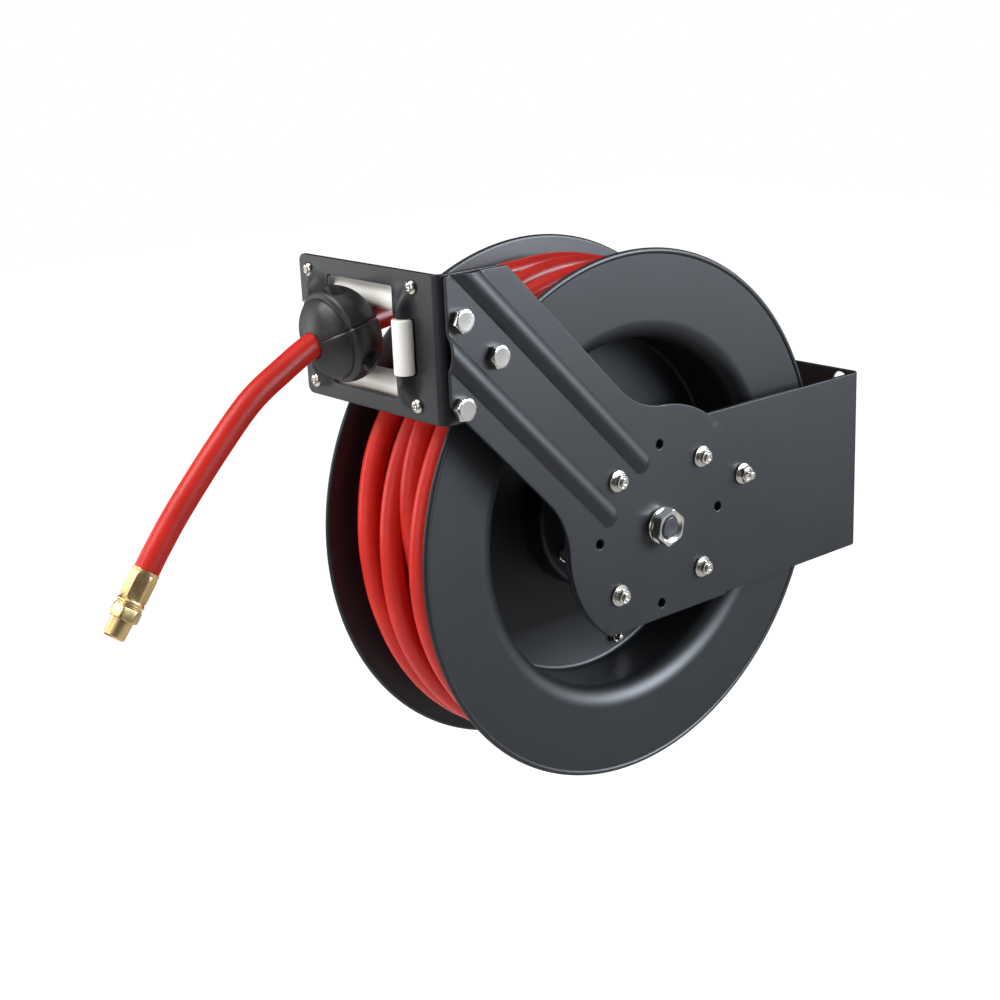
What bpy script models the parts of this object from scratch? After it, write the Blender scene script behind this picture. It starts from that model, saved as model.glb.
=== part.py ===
"""Spring-driven air hose reel with one guide arm, for a wall or a bench.

The origin is the centre of the bracket's wall face. The drum turns about an axle
along Y, the hose leaves towards -X, and the guide arm is on the -Y side. The hose
is wound up, with its ball stop drawn against the rollers.
"""

import math

import bmesh
import bpy
from mathutils import Matrix, Vector

# Sheet metal and fits
CLEAR = 0.0003
PLATE = 0.003
ARM_PLATE = 0.0027
DRUM_SHEET = 0.0018
FOLD_RADIUS = 0.006

# Base bracket
AXLE_TO_WALL = 0.2075
BASE_WIDTH = 0.1426
BASE_HEIGHT = 0.130
LEG_END_RADIUS = 0.080
WALL_HOLE_RADIUS = 0.007
WALL_HOLE_FROM_LEG = 0.0163
WALL_HOLE_FROM_EDGE = 0.009

# Guide arm, its ribs and its ring of holes
ARM_ANGLE = math.radians(134.2)
ARM_HALF_WIDTH = 0.0435
ARM_FILLET = 0.057
ARM_BACK = 0.0625
RIB_OFFSET = 0.0205
RIB_START = 0.043
RIB_HALF_WIDTH = 0.0078
RIB_HEIGHT = 0.0042
RIB_SINK = 0.0011
HOLE_CIRCLE = 0.0545
GUIDE_BOLT_OFFSETS = [(0.0133, 0.0171), (0.0388, -0.0081), (0.0116, -0.0346)]

# Drum
FLANGE_RADIUS = 0.178
RIM_TO_RIM = 0.1057
BEAD_RADIUS = 0.0026
WEB_INSET = 0.0023
SHOULDER = 0.014
WELL_DEPTH = 0.0598
WALL_RADIUS = FLANGE_RADIUS - WELL_DEPTH
FLOOR_FILLET = 0.004
FLOOR_HOLE = 0.0175
DRUM_STEPS = 40
DRUM_BOLT_ANGLE = math.radians(-77.0)

# Axle, hub and mainspring
AXLE_RADIUS = 0.007
AXLE_BORE = 0.004
BUSH_WALL = 0.0037
BOSS_WALL = 0.0055
HUB_RADIUS = 0.056
HUB_DEPTH = 0.018
HUB_SHEET = 0.003
HUB_BOLT_CIRCLE = 0.045
HUB_BOLT_ANGLE = math.radians(-150.0)
BOSS_LENGTH = 0.0445
RATCHET_RADIUS = 0.052
RATCHET_NOTCH = 0.008
RATCHET_THICKNESS = 0.005
RATCHET_TEETH = 6
ARBOR_RADIUS = 0.012
SPRING_WIDTH = 0.014
SPRING_TURNS = 4
SPRING_STRIP = 0.001
CASE_GAP = 0.0044
CASE_FLANGE = 0.015
CASE_BOLT_INSET = 0.0068
CASE_DEPTH = 0.022
CASE_BOSS = 0.0083
SWIVEL_RADIUS = 0.019
SWIVEL_LENGTH = 0.017
PORT_RADIUS = 0.0072
PORT_REACH = 0.034
PORT_DROP = 0.0133

# Fasteners, named for their threads: half the thread, the hole it passes, flats, height of head or nut
M4 = 0.002
M4_HOLE = 0.0023
M4_HEAD = 0.0038
M4_FLATS = 0.007
M4_NUT = 0.003
M5 = 0.0025
M5_HOLE = 0.0028
M5_HEAD = 0.0045
M5_FLATS = 0.008
M5_NUT = 0.0042
M6 = 0.003
M6_HOLE = 0.0033
M6_FLATS = 0.010
M6_NUT = 0.0058
M6_HEAD_HEIGHT = 0.0042
M6_WASHER = 0.0072
M8 = 0.004
M8_HOLE = 0.0043
M8_FLATS = 0.013
M8_HEAD_HEIGHT = 0.0048
M8_NUT_FLATS = 0.011
AXLE_NUT_FLATS = 0.022
AXLE_NUT_WASHER = 0.0122

# Pawl
PAWL_BOLT_OFFSET = Vector((0.0819, 0.0, 0.0166))
PAWL_EYE = 0.007

# Hose
HOSE_RADIUS = 0.0076
WOUND_DEPTH = 0.0181
LOOP_POINTS = 24

# Guide plate, rollers and ball stop; the guide stands back from the flange's reach
GUIDE_INSET = 0.006
GUIDE_DROP = 0.0343
GUIDE_Y = 0.0048
ARM_SETBACK = 0.004
ARM_TRIM = 0.0004
GUIDE_HEIGHT = 0.0884
GUIDE_FAR_EDGE = 0.067
GUIDE_CORNER = 0.005
GUIDE_FLANGE = 0.047
OPENING_HALF_WIDTH = 0.0325
OPENING_HALF_HEIGHT = 0.0338
SCREW_HALF_WIDTH = 0.052
SCREW_HALF_HEIGHT = 0.035
FRAME_SHEET = 0.002
FRAME_RIM = 0.005
LUG_DEPTH = 0.017
CROSS_ROLLER_RADIUS = 0.0082
CROSS_ROLLER_LENGTH = 0.0884
CROSS_ROLLER_SETBACK = 0.0119
CROSS_ROLLER_HALF_GAP = 0.0266
CROSS_ROLLER_DROP = 0.0030
SIDE_ROLLER_RADIUS = 0.0063
SIDE_ROLLER_LENGTH = 0.0328
SIDE_ROLLER_HALF_GAP = 0.046
SIDE_ROLLER_FORWARD = 0.0036
PIN_RADIUS = 0.0025
EAR_RADIUS = 0.0086
EAR_WALL = 0.0022
EAR_LENGTH = 0.005
BALL_OFFSET = Vector((-0.0126, 0.0095, 0.0027))
BALL_RADIUS = 0.0296
BALL_HALF_LENGTH = 0.0212
BALL_TILT = math.radians(11.0)
BALL_SPLIT_ANGLE = math.radians(62.0)
BALL_BOLT_OFFSET = 0.0135
BALL_BOLT_SEAT = 0.015
BALL_RECESS_RADIUS = 0.0062

# Free end of the hose
FERRULE_LENGTH = 0.0210
FITTING_HEX = 0.0160
FITTING_HEX_LENGTH = 0.0068
FITTING_THREAD_RADIUS = 0.0067
FITTING_THREAD_LENGTH = 0.0115
FERRULE_CRIMP = 0.0073
FERRULE_COLLAR = 0.0081
FERRULE_RING = 0.0084
FITTING_COLLAR = 0.0078
FITTING_BORE = 0.0035

# Places that follow from the sizes above
HALF_WIDTH = BASE_WIDTH / 2
LEG_INNER = HALF_WIDTH - PLATE
ARM_INNER = HALF_WIDTH + CLEAR
ARM_OUTER = ARM_INNER + ARM_PLATE
WEB_Y = RIM_TO_RIM / 2 - WEB_INSET
BUSH_INNER = AXLE_RADIUS + CLEAR
BUSH_OUTER = BUSH_INNER + BUSH_WALL
BOSS_INNER = BUSH_OUTER + CLEAR
BOSS_OUTER = BOSS_INNER + BOSS_WALL
FLOOR_FACE = CLEAR / 2 + DRUM_SHEET
HUB_BASE = FLOOR_FACE + CLEAR
BOSS_END = HUB_BASE + BOSS_LENGTH
RATCHET_INNER = BOSS_END + CLEAR
RATCHET_OUTER = RATCHET_INNER + RATCHET_THICKNESS
CASE_FACE = HUB_BASE + CASE_DEPTH
CASE_BOSS_END = CASE_FACE + CASE_BOSS
SWIVEL_END = CASE_BOSS_END + CLEAR + SWIVEL_LENGTH
PORT_Y = CASE_BOSS_END + CLEAR + SWIVEL_LENGTH / 2
ARBOR_START = HUB_BASE + 0.003
ARBOR_END = CASE_FACE - DRUM_SHEET - 0.0015
NUT_HEIGHT = 0.0102
NEAR_END = ARM_OUTER + CLEAR + NUT_HEIGHT - 0.0008
FAR_END = HALF_WIDTH + CLEAR + NUT_HEIGHT + 0.002
CASE_RADIUS = WALL_RADIUS - CASE_GAP - CASE_FLANGE
DRUM_BOLT_CIRCLE = CASE_RADIUS + CASE_FLANGE - CASE_BOLT_INSET
WOUND_RADIUS = FLANGE_RADIUS - WOUND_DEPTH
CORE_RADIUS = WOUND_RADIUS * math.cos(math.pi / LOOP_POINTS) - HOSE_RADIUS - CLEAR
GUIDE_FRONT = FLANGE_RADIUS - GUIDE_INSET
GUIDE_Z = FLANGE_RADIUS - GUIDE_DROP
ARM_FRONT = GUIDE_FRONT - ARM_SETBACK
ARM_TOP = GUIDE_Z + GUIDE_HEIGHT / 2 - ARM_TRIM
GUIDE_BOLTS = [(dx - GUIDE_FRONT, dz + GUIDE_Z) for dx, dz in GUIDE_BOLT_OFFSETS]
BALL_CENTRE = Vector((-GUIDE_FRONT, 0.0, GUIDE_Z)) + BALL_OFFSET
GUIDE_BACK = GUIDE_FRONT - PLATE
FRAME_FRONT = GUIDE_BACK - CLEAR
FRAME_BACK = FRAME_FRONT - FRAME_SHEET
LUG_INNER = CROSS_ROLLER_LENGTH / 2 + CLEAR
LUG_OUTER = LUG_INNER + FRAME_SHEET
CROSS_ROLLER_X = GUIDE_FRONT - CROSS_ROLLER_SETBACK
CROSS_ROLLER_Z = GUIDE_Z - CROSS_ROLLER_DROP
SIDE_ROLLER_X = GUIDE_FRONT + SIDE_ROLLER_FORWARD
EAR_X = SIDE_ROLLER_X - 0.0012
EAR_START = SIDE_ROLLER_LENGTH / 2 + CLEAR

ROUND = "round"
HEX = "hex"
SIDE_ON = (math.pi / 2, 0.0, 0.0)
FACE_ON = (math.pi / 2, 0.0, math.pi / 2)
ABOUT_Y = (-math.pi / 2, 0.0, 0.0)
UP = Vector((0.0, 0.0, 1.0))
TO_NEAR = Vector((0.0, -1.0, 0.0))
TO_FAR = Vector((0.0, 1.0, 0.0))
TO_FRONT = Vector((-1.0, 0.0, 0.0))

# How far along Y each stretch of the outer layer lies, against its turns from the start
LAY = [(0.0, -0.0385), (0.5, -0.0325), (0.65, -0.0250), (0.72, -0.0256), (0.85, -0.0195), (1.25, -0.0180),
       (1.5, -0.0150), (1.65, 0.0030), (1.75, 0.0050), (1.85, 0.0085), (2.25, 0.0105), (2.5, 0.0118),
       (2.55, 0.0128), (2.658, 0.0300), (2.72, 0.0287), (2.77, 0.0262), (2.85, 0.0250), (3.25, 0.0290),
       (3.5, 0.0335)]

# The free stretch of hose from beyond the ball to the ferrule, from the guide's front, chosen by eye
TAIL_ROUTE = [(-0.0548, -0.0121), (-0.0784, -0.0265), (-0.1042, -0.0507), (-0.1315, -0.0797),
              (-0.1472, -0.0987), (-0.1558, -0.1102)]


def at(x, y, z):
    """A place given from the drum's axle, in the bracket's own frame."""
    return Vector((x - AXLE_TO_WALL, y, z))


def clear_scene():
    for obj in list(bpy.data.objects):
        bpy.data.objects.remove(obj, do_unlink=True)


def new_collection(name):
    made = bpy.data.collections.new(name)
    bpy.context.scene.collection.children.link(made)
    return made


def new_material(name, colour, roughness, metallic=0.0):
    made = bpy.data.materials.new(name)
    made.use_nodes = True
    shader = made.node_tree.nodes["Principled BSDF"]
    shader.inputs["Base Color"].default_value = (*colour, 1.0)
    shader.inputs["Roughness"].default_value = roughness
    shader.inputs["Metallic"].default_value = metallic
    made.diffuse_color = (*colour, 1.0)
    return made


clear_scene()
PARTS = new_collection("air_hose_reel")
CUTTERS = new_collection("cutters")

FINISHES = {
    "powder_coat": ((0.045, 0.048, 0.054), 0.45, 0.0),
    "zinc": ((0.72, 0.72, 0.70), 0.25, 1.0),
    "brass": ((0.78, 0.60, 0.30), 0.28, 1.0),
    "hose_rubber": ((0.58, 0.045, 0.035), 0.42, 0.0),
    "black_rubber": ((0.022, 0.023, 0.024), 0.6, 0.0),
    "white_plastic": ((0.80, 0.79, 0.74), 0.4, 0.0),
    "axle_steel": ((0.10, 0.10, 0.11), 0.4, 1.0),
    "spring_steel": ((0.22, 0.23, 0.26), 0.35, 1.0),
    "bronze": ((0.45, 0.30, 0.16), 0.4, 1.0),
}


def finish(obj, material_name):
    """Give the object a material of its own, in the named finish, and smooth its rounds."""
    obj.data.materials.clear()
    obj.data.materials.append(new_material(obj.name, *FINISHES[material_name]))
    if obj.type == "MESH":
        obj.data.shade_smooth()
        obj.data.set_sharp_from_angle(angle=math.radians(35))
    return obj


def link(name, data, place=(0.0, 0.0, 0.0), turn=(0.0, 0.0, 0.0), parent=None, helper=False):
    made = bpy.data.objects.new(name, data)
    made.location = place
    made.rotation_euler = turn
    if helper:
        CUTTERS.objects.link(made)
        made.hide_render = True
        made.display_type = "WIRE"
    else:
        PARTS.objects.link(made)
    if parent:
        made.parent = parent
        made.location = Vector(place) - parent.location
    return made


def joint_axis(name, place):
    """An empty on a joint's axis, which carries the pieces that turn or slide with it."""
    made = bpy.data.objects.new(name, None)
    made.location = place
    made.empty_display_size = 0.02
    PARTS.objects.link(made)
    return made


def aim(direction):
    return UP.rotation_difference(Vector(direction)).to_euler()


def arc(centre, radius, start, end, steps):
    """Points on a circle from one angle to another, both included."""
    angles = [start + (end - start) * k / steps for k in range(steps + 1)]
    return [(centre[0] + radius * math.cos(a), centre[1] + radius * math.sin(a)) for a in angles]


def rounded(corners, steps=4):
    """A closed outline from (x, y, radius) corners, each rounded by its own radius."""
    outline = []
    for k, (x, y, radius) in enumerate(corners):
        here = Vector((x, y))
        if radius == 0:
            outline.append((x, y))
            continue
        before = (Vector(corners[k - 1][:2]) - here).normalized()
        after = (Vector(corners[(k + 1) % len(corners)][:2]) - here).normalized()
        half = before.angle(after) / 2
        centre = here + (before + after).normalized() * radius / math.sin(half)
        first = here + before * radius / math.tan(half) - centre
        last = here + after * radius / math.tan(half) - centre
        start = math.atan2(first.y, first.x)
        sweep = math.remainder(math.atan2(last.y, last.x) - start, 2 * math.pi)
        outline += arc(centre, radius, start, start + sweep, steps)
    return outline


def circle(centre, radius, steps=10):
    return arc(centre, radius, 0.0, 2 * math.pi * (1 - 1 / steps), steps - 1)


def flat_curve(name, outlines, thickness):
    """A flat sheet whose first outline is its edge and whose others are its holes."""
    data = bpy.data.curves.new(name, "CURVE")
    data.dimensions = "2D"
    data.fill_mode = "BOTH"
    data.extrude = thickness / 2
    for outline in outlines:
        spline = data.splines.new("POLY")
        spline.points.add(len(outline) - 1)
        for point, (x, y) in zip(spline.points, outline):
            point.co = (x, y, 0.0, 1.0)
        spline.use_cyclic_u = True
    return data


def tube_curve(name, points, radius, resolution=2, radii=None):
    """A round tube along the points, closed at both ends."""
    data = bpy.data.curves.new(name, "CURVE")
    data.dimensions = "3D"
    data.bevel_depth = radius
    data.bevel_resolution = resolution
    data.use_fill_caps = True
    spline = data.splines.new("POLY")
    spline.points.add(len(points) - 1)
    for k, (point, place) in enumerate(zip(spline.points, points)):
        point.co = (*place, 1.0)
        point.radius = radii[k] if radii else 1.0
    return data


def as_mesh(name, curve):
    """The closed mesh that a curve draws, with its caps welded on."""
    guide = bpy.data.objects.new(name + "_guide", curve)
    bpy.context.scene.collection.objects.link(guide)
    bpy.context.view_layer.update()
    graph = bpy.context.evaluated_depsgraph_get()
    mesh = bpy.data.meshes.new_from_object(guide.evaluated_get(graph))
    mesh.name = name
    bpy.data.objects.remove(guide, do_unlink=True)
    shape = bmesh.new()
    shape.from_mesh(mesh)
    bmesh.ops.remove_doubles(shape, verts=shape.verts, dist=0.00001)
    bmesh.ops.recalc_face_normals(shape, faces=shape.faces)
    shape.to_mesh(mesh)
    shape.free()
    return mesh


def sheet_mesh(name, outlines, thickness):
    return as_mesh(name, flat_curve(name, outlines, thickness))


def bar_mesh(name, bars):
    """Round bars in one mesh, each given as (start, end, radius)."""
    shape = bmesh.new()
    for start, end, radius in bars:
        run = Vector(end) - Vector(start)
        matrix = Matrix.Translation((Vector(start) + Vector(end)) / 2) @ aim(run).to_matrix().to_4x4()
        bmesh.ops.create_cone(shape, cap_ends=True, segments=20 if radius > 0.005 else 10, radius1=radius,
                              radius2=radius, depth=run.length, matrix=matrix)
    mesh = bpy.data.meshes.new(name)
    shape.to_mesh(mesh)
    shape.free()
    return mesh


def box_mesh(name, low, high):
    low, high = Vector(low), Vector(high)
    shape = bmesh.new()
    matrix = Matrix.Translation((low + high) / 2) @ Matrix.Diagonal((*(high - low), 1.0))
    bmesh.ops.create_cube(shape, size=1.0, matrix=matrix)
    mesh = bpy.data.meshes.new(name)
    shape.to_mesh(mesh)
    shape.free()
    return mesh


def shaped(obj, operation, mesh, place=(0.0, 0.0, 0.0), turn=(0.0, 0.0, 0.0)):
    """Add a Boolean to the object, with the mesh as its helper in world space."""
    name = f"{obj.name}_{operation.lower()}_{len(obj.modifiers)}"
    helper = link(name, mesh, place, turn, helper=True)
    modifier = obj.modifiers.new(name, "BOOLEAN")
    modifier.operation = operation
    modifier.object = helper
    return obj


def turned_mesh(name, loop):
    """A closed loop of (radius, along) points, ordered to run down its outer side."""
    area = sum(a[0] * b[1] - b[0] * a[1] for a, b in zip(loop, loop[1:] + loop[:1]))
    if area > 0:
        loop = loop[::-1]
    count = len(loop)
    mesh = bpy.data.meshes.new(name)
    mesh.from_pydata([(r, 0.0, along) for r, along in loop], [(k, (k + 1) % count) for k in range(count)], [])
    return mesh


def turned(name, loop, place, material_name, steps=32, turn=ABOUT_Y, parent=None):
    """A turned ring: the loop goes once round the object's own Z axis."""
    obj = link(name, turned_mesh(name, loop), place, turn, parent)
    screw = obj.modifiers.new("turn", "SCREW")
    screw.steps = steps
    screw.render_steps = steps
    screw.use_merge_vertices = True
    screw.merge_threshold = 0.00001
    finish(obj, material_name)
    return obj


def hex_radius(across_flats, angle):
    return across_flats / 2 / math.cos((angle % (math.pi / 3)) - math.pi / 6)


def stepped_mesh(name, rings, sides=12):
    """A solid through round and six-sided rings, each (along, radius or half flats, shape)."""
    shape = bmesh.new()
    loops = []
    for along, size, form in rings:
        loop = []
        for k in range(sides):
            angle = 2 * math.pi * k / sides
            radius = size if form == ROUND else hex_radius(2 * size, angle)
            loop.append(shape.verts.new((radius * math.cos(angle), radius * math.sin(angle), along)))
        loops.append(loop)
    for lower, upper in zip(loops, loops[1:]):
        for k in range(sides):
            n = (k + 1) % sides
            shape.faces.new((lower[k], lower[n], upper[n], upper[k]))
    shape.faces.new(loops[0][::-1])
    shape.faces.new(loops[-1])
    mesh = bpy.data.meshes.new(name)
    shape.to_mesh(mesh)
    shape.free()
    return mesh


def fastener(name, place, outward, grip, shank, outer, inner, material_name="zinc", parent=None, sides=12):
    """A bolt or screw through a stack of the given grip, whose outer face is at the place.

    outer and inner list the rings of head and nut as (height above the face, size, shape).
    """
    rings = [(-grip - CLEAR - height, size, form) for height, size, form in reversed(inner)]
    rings += [(-grip - CLEAR, shank, ROUND), (CLEAR, shank, ROUND)]
    rings += [(CLEAR + height, size, form) for height, size, form in outer]
    obj = link(name, stepped_mesh(name, rings, sides), place, aim(outward), parent)
    return finish(obj, material_name)


def plain_hex(flats, height):
    return [(0.0, flats / 2, HEX), (height, flats / 2, HEX)]


def flange_nut(flats, height, washer, shank, thread):
    return [(0.0, washer, ROUND), (height * 0.22, washer, ROUND), (height * 0.3, flats / 2, HEX),
            (height, flats / 2, HEX), (height, shank, ROUND), (height + thread, shank * 0.85, ROUND)]


def threaded_nut(flats, height, shank, thread):
    return [(0.0, flats / 2, HEX), (height, flats / 2, HEX), (height, shank, ROUND),
            (height + thread, shank * 0.85, ROUND)]


def ring_of(radius, start, count):
    """Places round the axle, as (x, z) offsets."""
    angles = [start + 2 * math.pi * k / count for k in range(count)]
    return [(radius * math.cos(a), radius * math.sin(a)) for a in angles]


def through_y(points, radius, low, high):
    """Bars along Y through (x, z) offsets from the axle."""
    return [(at(x, low, z), at(x, high, z), radius) for x, z in points]


def base_bracket():
    """A strip folded to a U: the wall plate and two legs with round ends about the axle."""
    reach = AXLE_TO_WALL + LEG_END_RADIUS
    inner_fold = FOLD_RADIUS - PLATE
    strip = rounded([(-reach, -HALF_WIDTH, 0), (0, -HALF_WIDTH, FOLD_RADIUS), (0, HALF_WIDTH, FOLD_RADIUS),
                     (-reach, HALF_WIDTH, 0), (-reach, LEG_INNER, 0), (-PLATE, LEG_INNER, inner_fold),
                     (-PLATE, -LEG_INNER, inner_fold), (-reach, -LEG_INNER, 0)])
    obj = link("base_bracket", sheet_mesh("base_bracket", [strip], BASE_HEIGHT))
    rise = BASE_HEIGHT / 2
    swing = math.asin(rise / LEG_END_RADIUS)
    side = [(PLATE, -rise - PLATE), (PLATE, rise + PLATE)]
    side += [(-AXLE_TO_WALL + x, z) for x, z in
             [(-LEG_END_RADIUS * math.cos(swing), rise + PLATE)]
             + arc((0, 0), LEG_END_RADIUS, math.pi - swing, math.pi + swing, 16)
             + [(-LEG_END_RADIUS * math.cos(swing), -rise - PLATE)]]
    shaped(obj, "INTERSECT", sheet_mesh("leg_side", [side], BASE_WIDTH + 0.02), turn=SIDE_ON)
    outside = HALF_WIDTH + PLATE
    bars = through_y([(0, 0)], AXLE_RADIUS + CLEAR, -outside, outside)
    bars += through_y(ring_of(HOLE_CIRCLE, 0, 8), M6_HOLE, -outside, -LEG_INNER + PLATE)
    bars += through_y([(PAWL_BOLT_OFFSET.x, PAWL_BOLT_OFFSET.z)], M6_HOLE,
                      -outside, -LEG_INNER + PLATE)
    hole_y = HALF_WIDTH - WALL_HOLE_FROM_LEG
    hole_z = rise - WALL_HOLE_FROM_EDGE
    for y in (-hole_y, hole_y):
        for z in (-hole_z, hole_z):
            bars.append(((-2 * PLATE, y, z), (PLATE, y, z), WALL_HOLE_RADIUS))
    shaped(obj, "DIFFERENCE", bar_mesh("base_holes", bars))
    return finish(obj, "powder_coat")


def arm_outline():
    """A straight bar of one width that flows into a disc about the axle, cut off square at the base."""
    across = ARM_ANGLE - math.pi / 2
    reach = LEG_END_RADIUS + ARM_FILLET
    swing = math.acos((ARM_HALF_WIDTH + ARM_FILLET) / reach)
    upper = (reach * math.cos(across + swing), reach * math.sin(across + swing))
    lower = (reach * math.cos(across + math.pi - swing), reach * math.sin(across + math.pi - swing))
    normal = (math.cos(across), math.sin(across))
    top_x = (ARM_HALF_WIDTH - ARM_TOP * normal[1]) / normal[0]
    front_z = (-ARM_HALF_WIDTH + ARM_FRONT * normal[0]) / normal[1]
    rise = BASE_HEIGHT / 2
    outline = [(ARM_BACK, -rise)]
    outline += arc((0, 0), LEG_END_RADIUS, math.acos(ARM_BACK / LEG_END_RADIUS), across + swing, 7)
    outline += arc(upper, ARM_FILLET, across + swing + math.pi, across + math.pi, 6)
    outline += rounded([(top_x, ARM_TOP, 0.004), (-ARM_FRONT, ARM_TOP, 0.003), (-ARM_FRONT, front_z, 0.004),
                        (0, 0, 0)], 2)[:-1]
    start = across + math.pi - swing
    outline += arc(lower, ARM_FILLET, across, start - math.pi, 6)
    outline += arc((0, 0), LEG_END_RADIUS, start, math.pi + math.asin(rise / LEG_END_RADIUS), 7)
    return outline


def rib_mesh(name, half_width, height, start):
    """One long bead with a round end, its height less than its half width."""
    steps = 3
    angles = [math.pi / 2 * k / steps for k in range(steps + 1)]
    along = [start - half_width * math.cos(angle) for angle in angles] + [2 * ARM_TOP]
    sizes = [max(math.sin(angle), 0.1) for angle in angles] + [1.0]
    mesh = as_mesh(name, tube_curve(name, [(s, 0.0, 0.0) for s in along], half_width, 2, sizes))
    mesh.transform(Matrix.Diagonal((1.0, 1.0, height / half_width, 1.0)))
    return mesh


def guide_arm():
    """The stamped arm, with two ribs pressed outwards, bolted over the near leg."""
    outline = arm_outline()
    spare = 0.01
    rise = BASE_HEIGHT / 2 + spare
    back = LEG_END_RADIUS + spare
    front, top = -ARM_FRONT - spare, ARM_TOP + spare
    blank = [(front, -rise), (back, -rise), (back, top), (front, top)]
    middle = -ARM_OUTER + ARM_PLATE
    obj = link("guide_arm", sheet_mesh("guide_arm", [blank], 2 * ARM_PLATE), at(0, middle, 0), SIDE_ON)
    across = ARM_ANGLE - math.pi / 2
    turn = (Matrix.Rotation(math.pi / 2, 3, "X") @ Matrix.Rotation(ARM_ANGLE, 3, "Z")).to_euler()
    places = [(side * RIB_OFFSET * math.cos(across), side * RIB_OFFSET * math.sin(across)) for side in (-1, 1)]
    for x, z in places:
        rib = rib_mesh("rib", RIB_HALF_WIDTH, RIB_HEIGHT + RIB_SINK, RIB_START)
        shaped(obj, "UNION", rib, at(x, RIB_SINK - ARM_OUTER, z), turn)
    depth = 4 * (ARM_PLATE + RIB_HEIGHT)
    shaped(obj, "INTERSECT", sheet_mesh("arm_edge", [outline], depth), at(0, -ARM_INNER - depth / 2, 0), SIDE_ON)
    for x, z in places:
        hollow = rib_mesh("rib_back", RIB_HALF_WIDTH - RIB_SINK, RIB_HEIGHT + RIB_SINK, RIB_START + RIB_SINK)
        shaped(obj, "DIFFERENCE", hollow, at(x, RIB_SINK - ARM_INNER, z), turn)
    low, high = -ARM_INNER - depth, -ARM_INNER + ARM_PLATE
    bars = through_y(ring_of(HOLE_CIRCLE, 0, 8), M6_HOLE, low, high)
    bars += through_y([(0, 0)], AXLE_RADIUS + CLEAR, low, high)
    bars += through_y(GUIDE_BOLTS, M8_HOLE, low, high)
    shaped(obj, "DIFFERENCE", bar_mesh("arm_holes", bars))
    return finish(obj, "powder_coat")


def guide_plate():
    """An L-shaped plate: its face carries the rollers and its flange lies inside the arm."""
    low = GUIDE_Z - GUIDE_HEIGHT / 2
    high = GUIDE_Z + GUIDE_HEIGHT / 2
    end = -GUIDE_FRONT + GUIDE_FLANGE
    bend = rounded([(-GUIDE_FRONT, GUIDE_FAR_EDGE, 0), (-GUIDE_FRONT, -HALF_WIDTH, FOLD_RADIUS),
                    (end, -HALF_WIDTH, 0), (end, -LEG_INNER, 0),
                    (-GUIDE_BACK, -LEG_INNER, FOLD_RADIUS - PLATE), (-GUIDE_BACK, GUIDE_FAR_EDGE, 0)])
    obj = link("guide_plate", sheet_mesh("guide_plate", [bend], GUIDE_HEIGHT), at(0, 0, GUIDE_Z))
    for side in (-1, 1):
        y = GUIDE_Y + side * SIDE_ROLLER_HALF_GAP
        for level in (-1, 1):
            shaped(obj, "UNION", ear_mesh("ear", EAR_RADIUS, 0.0), at(-EAR_X, y, GUIDE_Z), ear_turn(level))
    middle = (GUIDE_FAR_EDGE - HALF_WIDTH) / 2
    half = (GUIDE_FAR_EDGE + HALF_WIDTH) / 2
    face = rounded([(middle - half - 0.01, low - 0.01, 0), (middle - half - 0.01, high + 0.01, 0),
                    (middle, high + 0.01, 0), (middle, high, 0),
                    (GUIDE_FAR_EDGE, high, GUIDE_CORNER), (GUIDE_FAR_EDGE, low, GUIDE_CORNER),
                    (middle, low, 0), (middle, low - 0.01, 0)])
    shaped(obj, "INTERSECT", sheet_mesh("guide_face", [face], 0.2), at(-GUIDE_FRONT + 0.05, 0, 0), FACE_ON)
    window = SIDE_ROLLER_HALF_GAP + SIDE_ROLLER_RADIUS + 0.0008
    notch = EAR_START
    wide, tall = OPENING_HALF_WIDTH, OPENING_HALF_HEIGHT
    hole = [(-wide, -tall), (wide, -tall), (wide, -notch), (window, -notch), (window, notch), (wide, notch),
            (wide, tall), (-wide, tall), (-wide, notch), (-window, notch), (-window, -notch), (-wide, -notch)]
    shaped(obj, "DIFFERENCE", sheet_mesh("guide_opening", [hole], 0.05),
           at(-GUIDE_FRONT, GUIDE_Y, GUIDE_Z), FACE_ON)
    for side in (-1, 1):
        y = GUIDE_Y + side * SIDE_ROLLER_HALF_GAP
        for level in (-1, 1):
            shaped(obj, "DIFFERENCE", ear_mesh("ear_hollow", EAR_RADIUS - EAR_WALL, EAR_WALL),
                   at(-EAR_X + 0.0006, y, GUIDE_Z), ear_turn(level))
    bars = [(at(-GUIDE_FRONT - 0.01, GUIDE_Y + a * SCREW_HALF_WIDTH, GUIDE_Z + b * SCREW_HALF_HEIGHT),
             at(-GUIDE_BACK + 0.01, GUIDE_Y + a * SCREW_HALF_WIDTH, GUIDE_Z + b * SCREW_HALF_HEIGHT), M5_HOLE)
            for a in (-1, 1) for b in (-1, 1)]
    bars += through_y(GUIDE_BOLTS, M8_HOLE, -HALF_WIDTH - PLATE, -LEG_INNER + PLATE)
    for side in (-1, 1):
        y = GUIDE_Y + side * SIDE_ROLLER_HALF_GAP
        reach = EAR_START + EAR_WALL + 0.004
        bars.append((at(-SIDE_ROLLER_X, y, GUIDE_Z - reach), at(-SIDE_ROLLER_X, y, GUIDE_Z + reach),
                     PIN_RADIUS + CLEAR))
    shaped(obj, "DIFFERENCE", bar_mesh("guide_holes", bars))
    return finish(obj, "powder_coat")


def ear_turn(level):
    return (0.0, 0.0, 0.0) if level > 0 else (math.pi, 0.0, 0.0)


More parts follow.
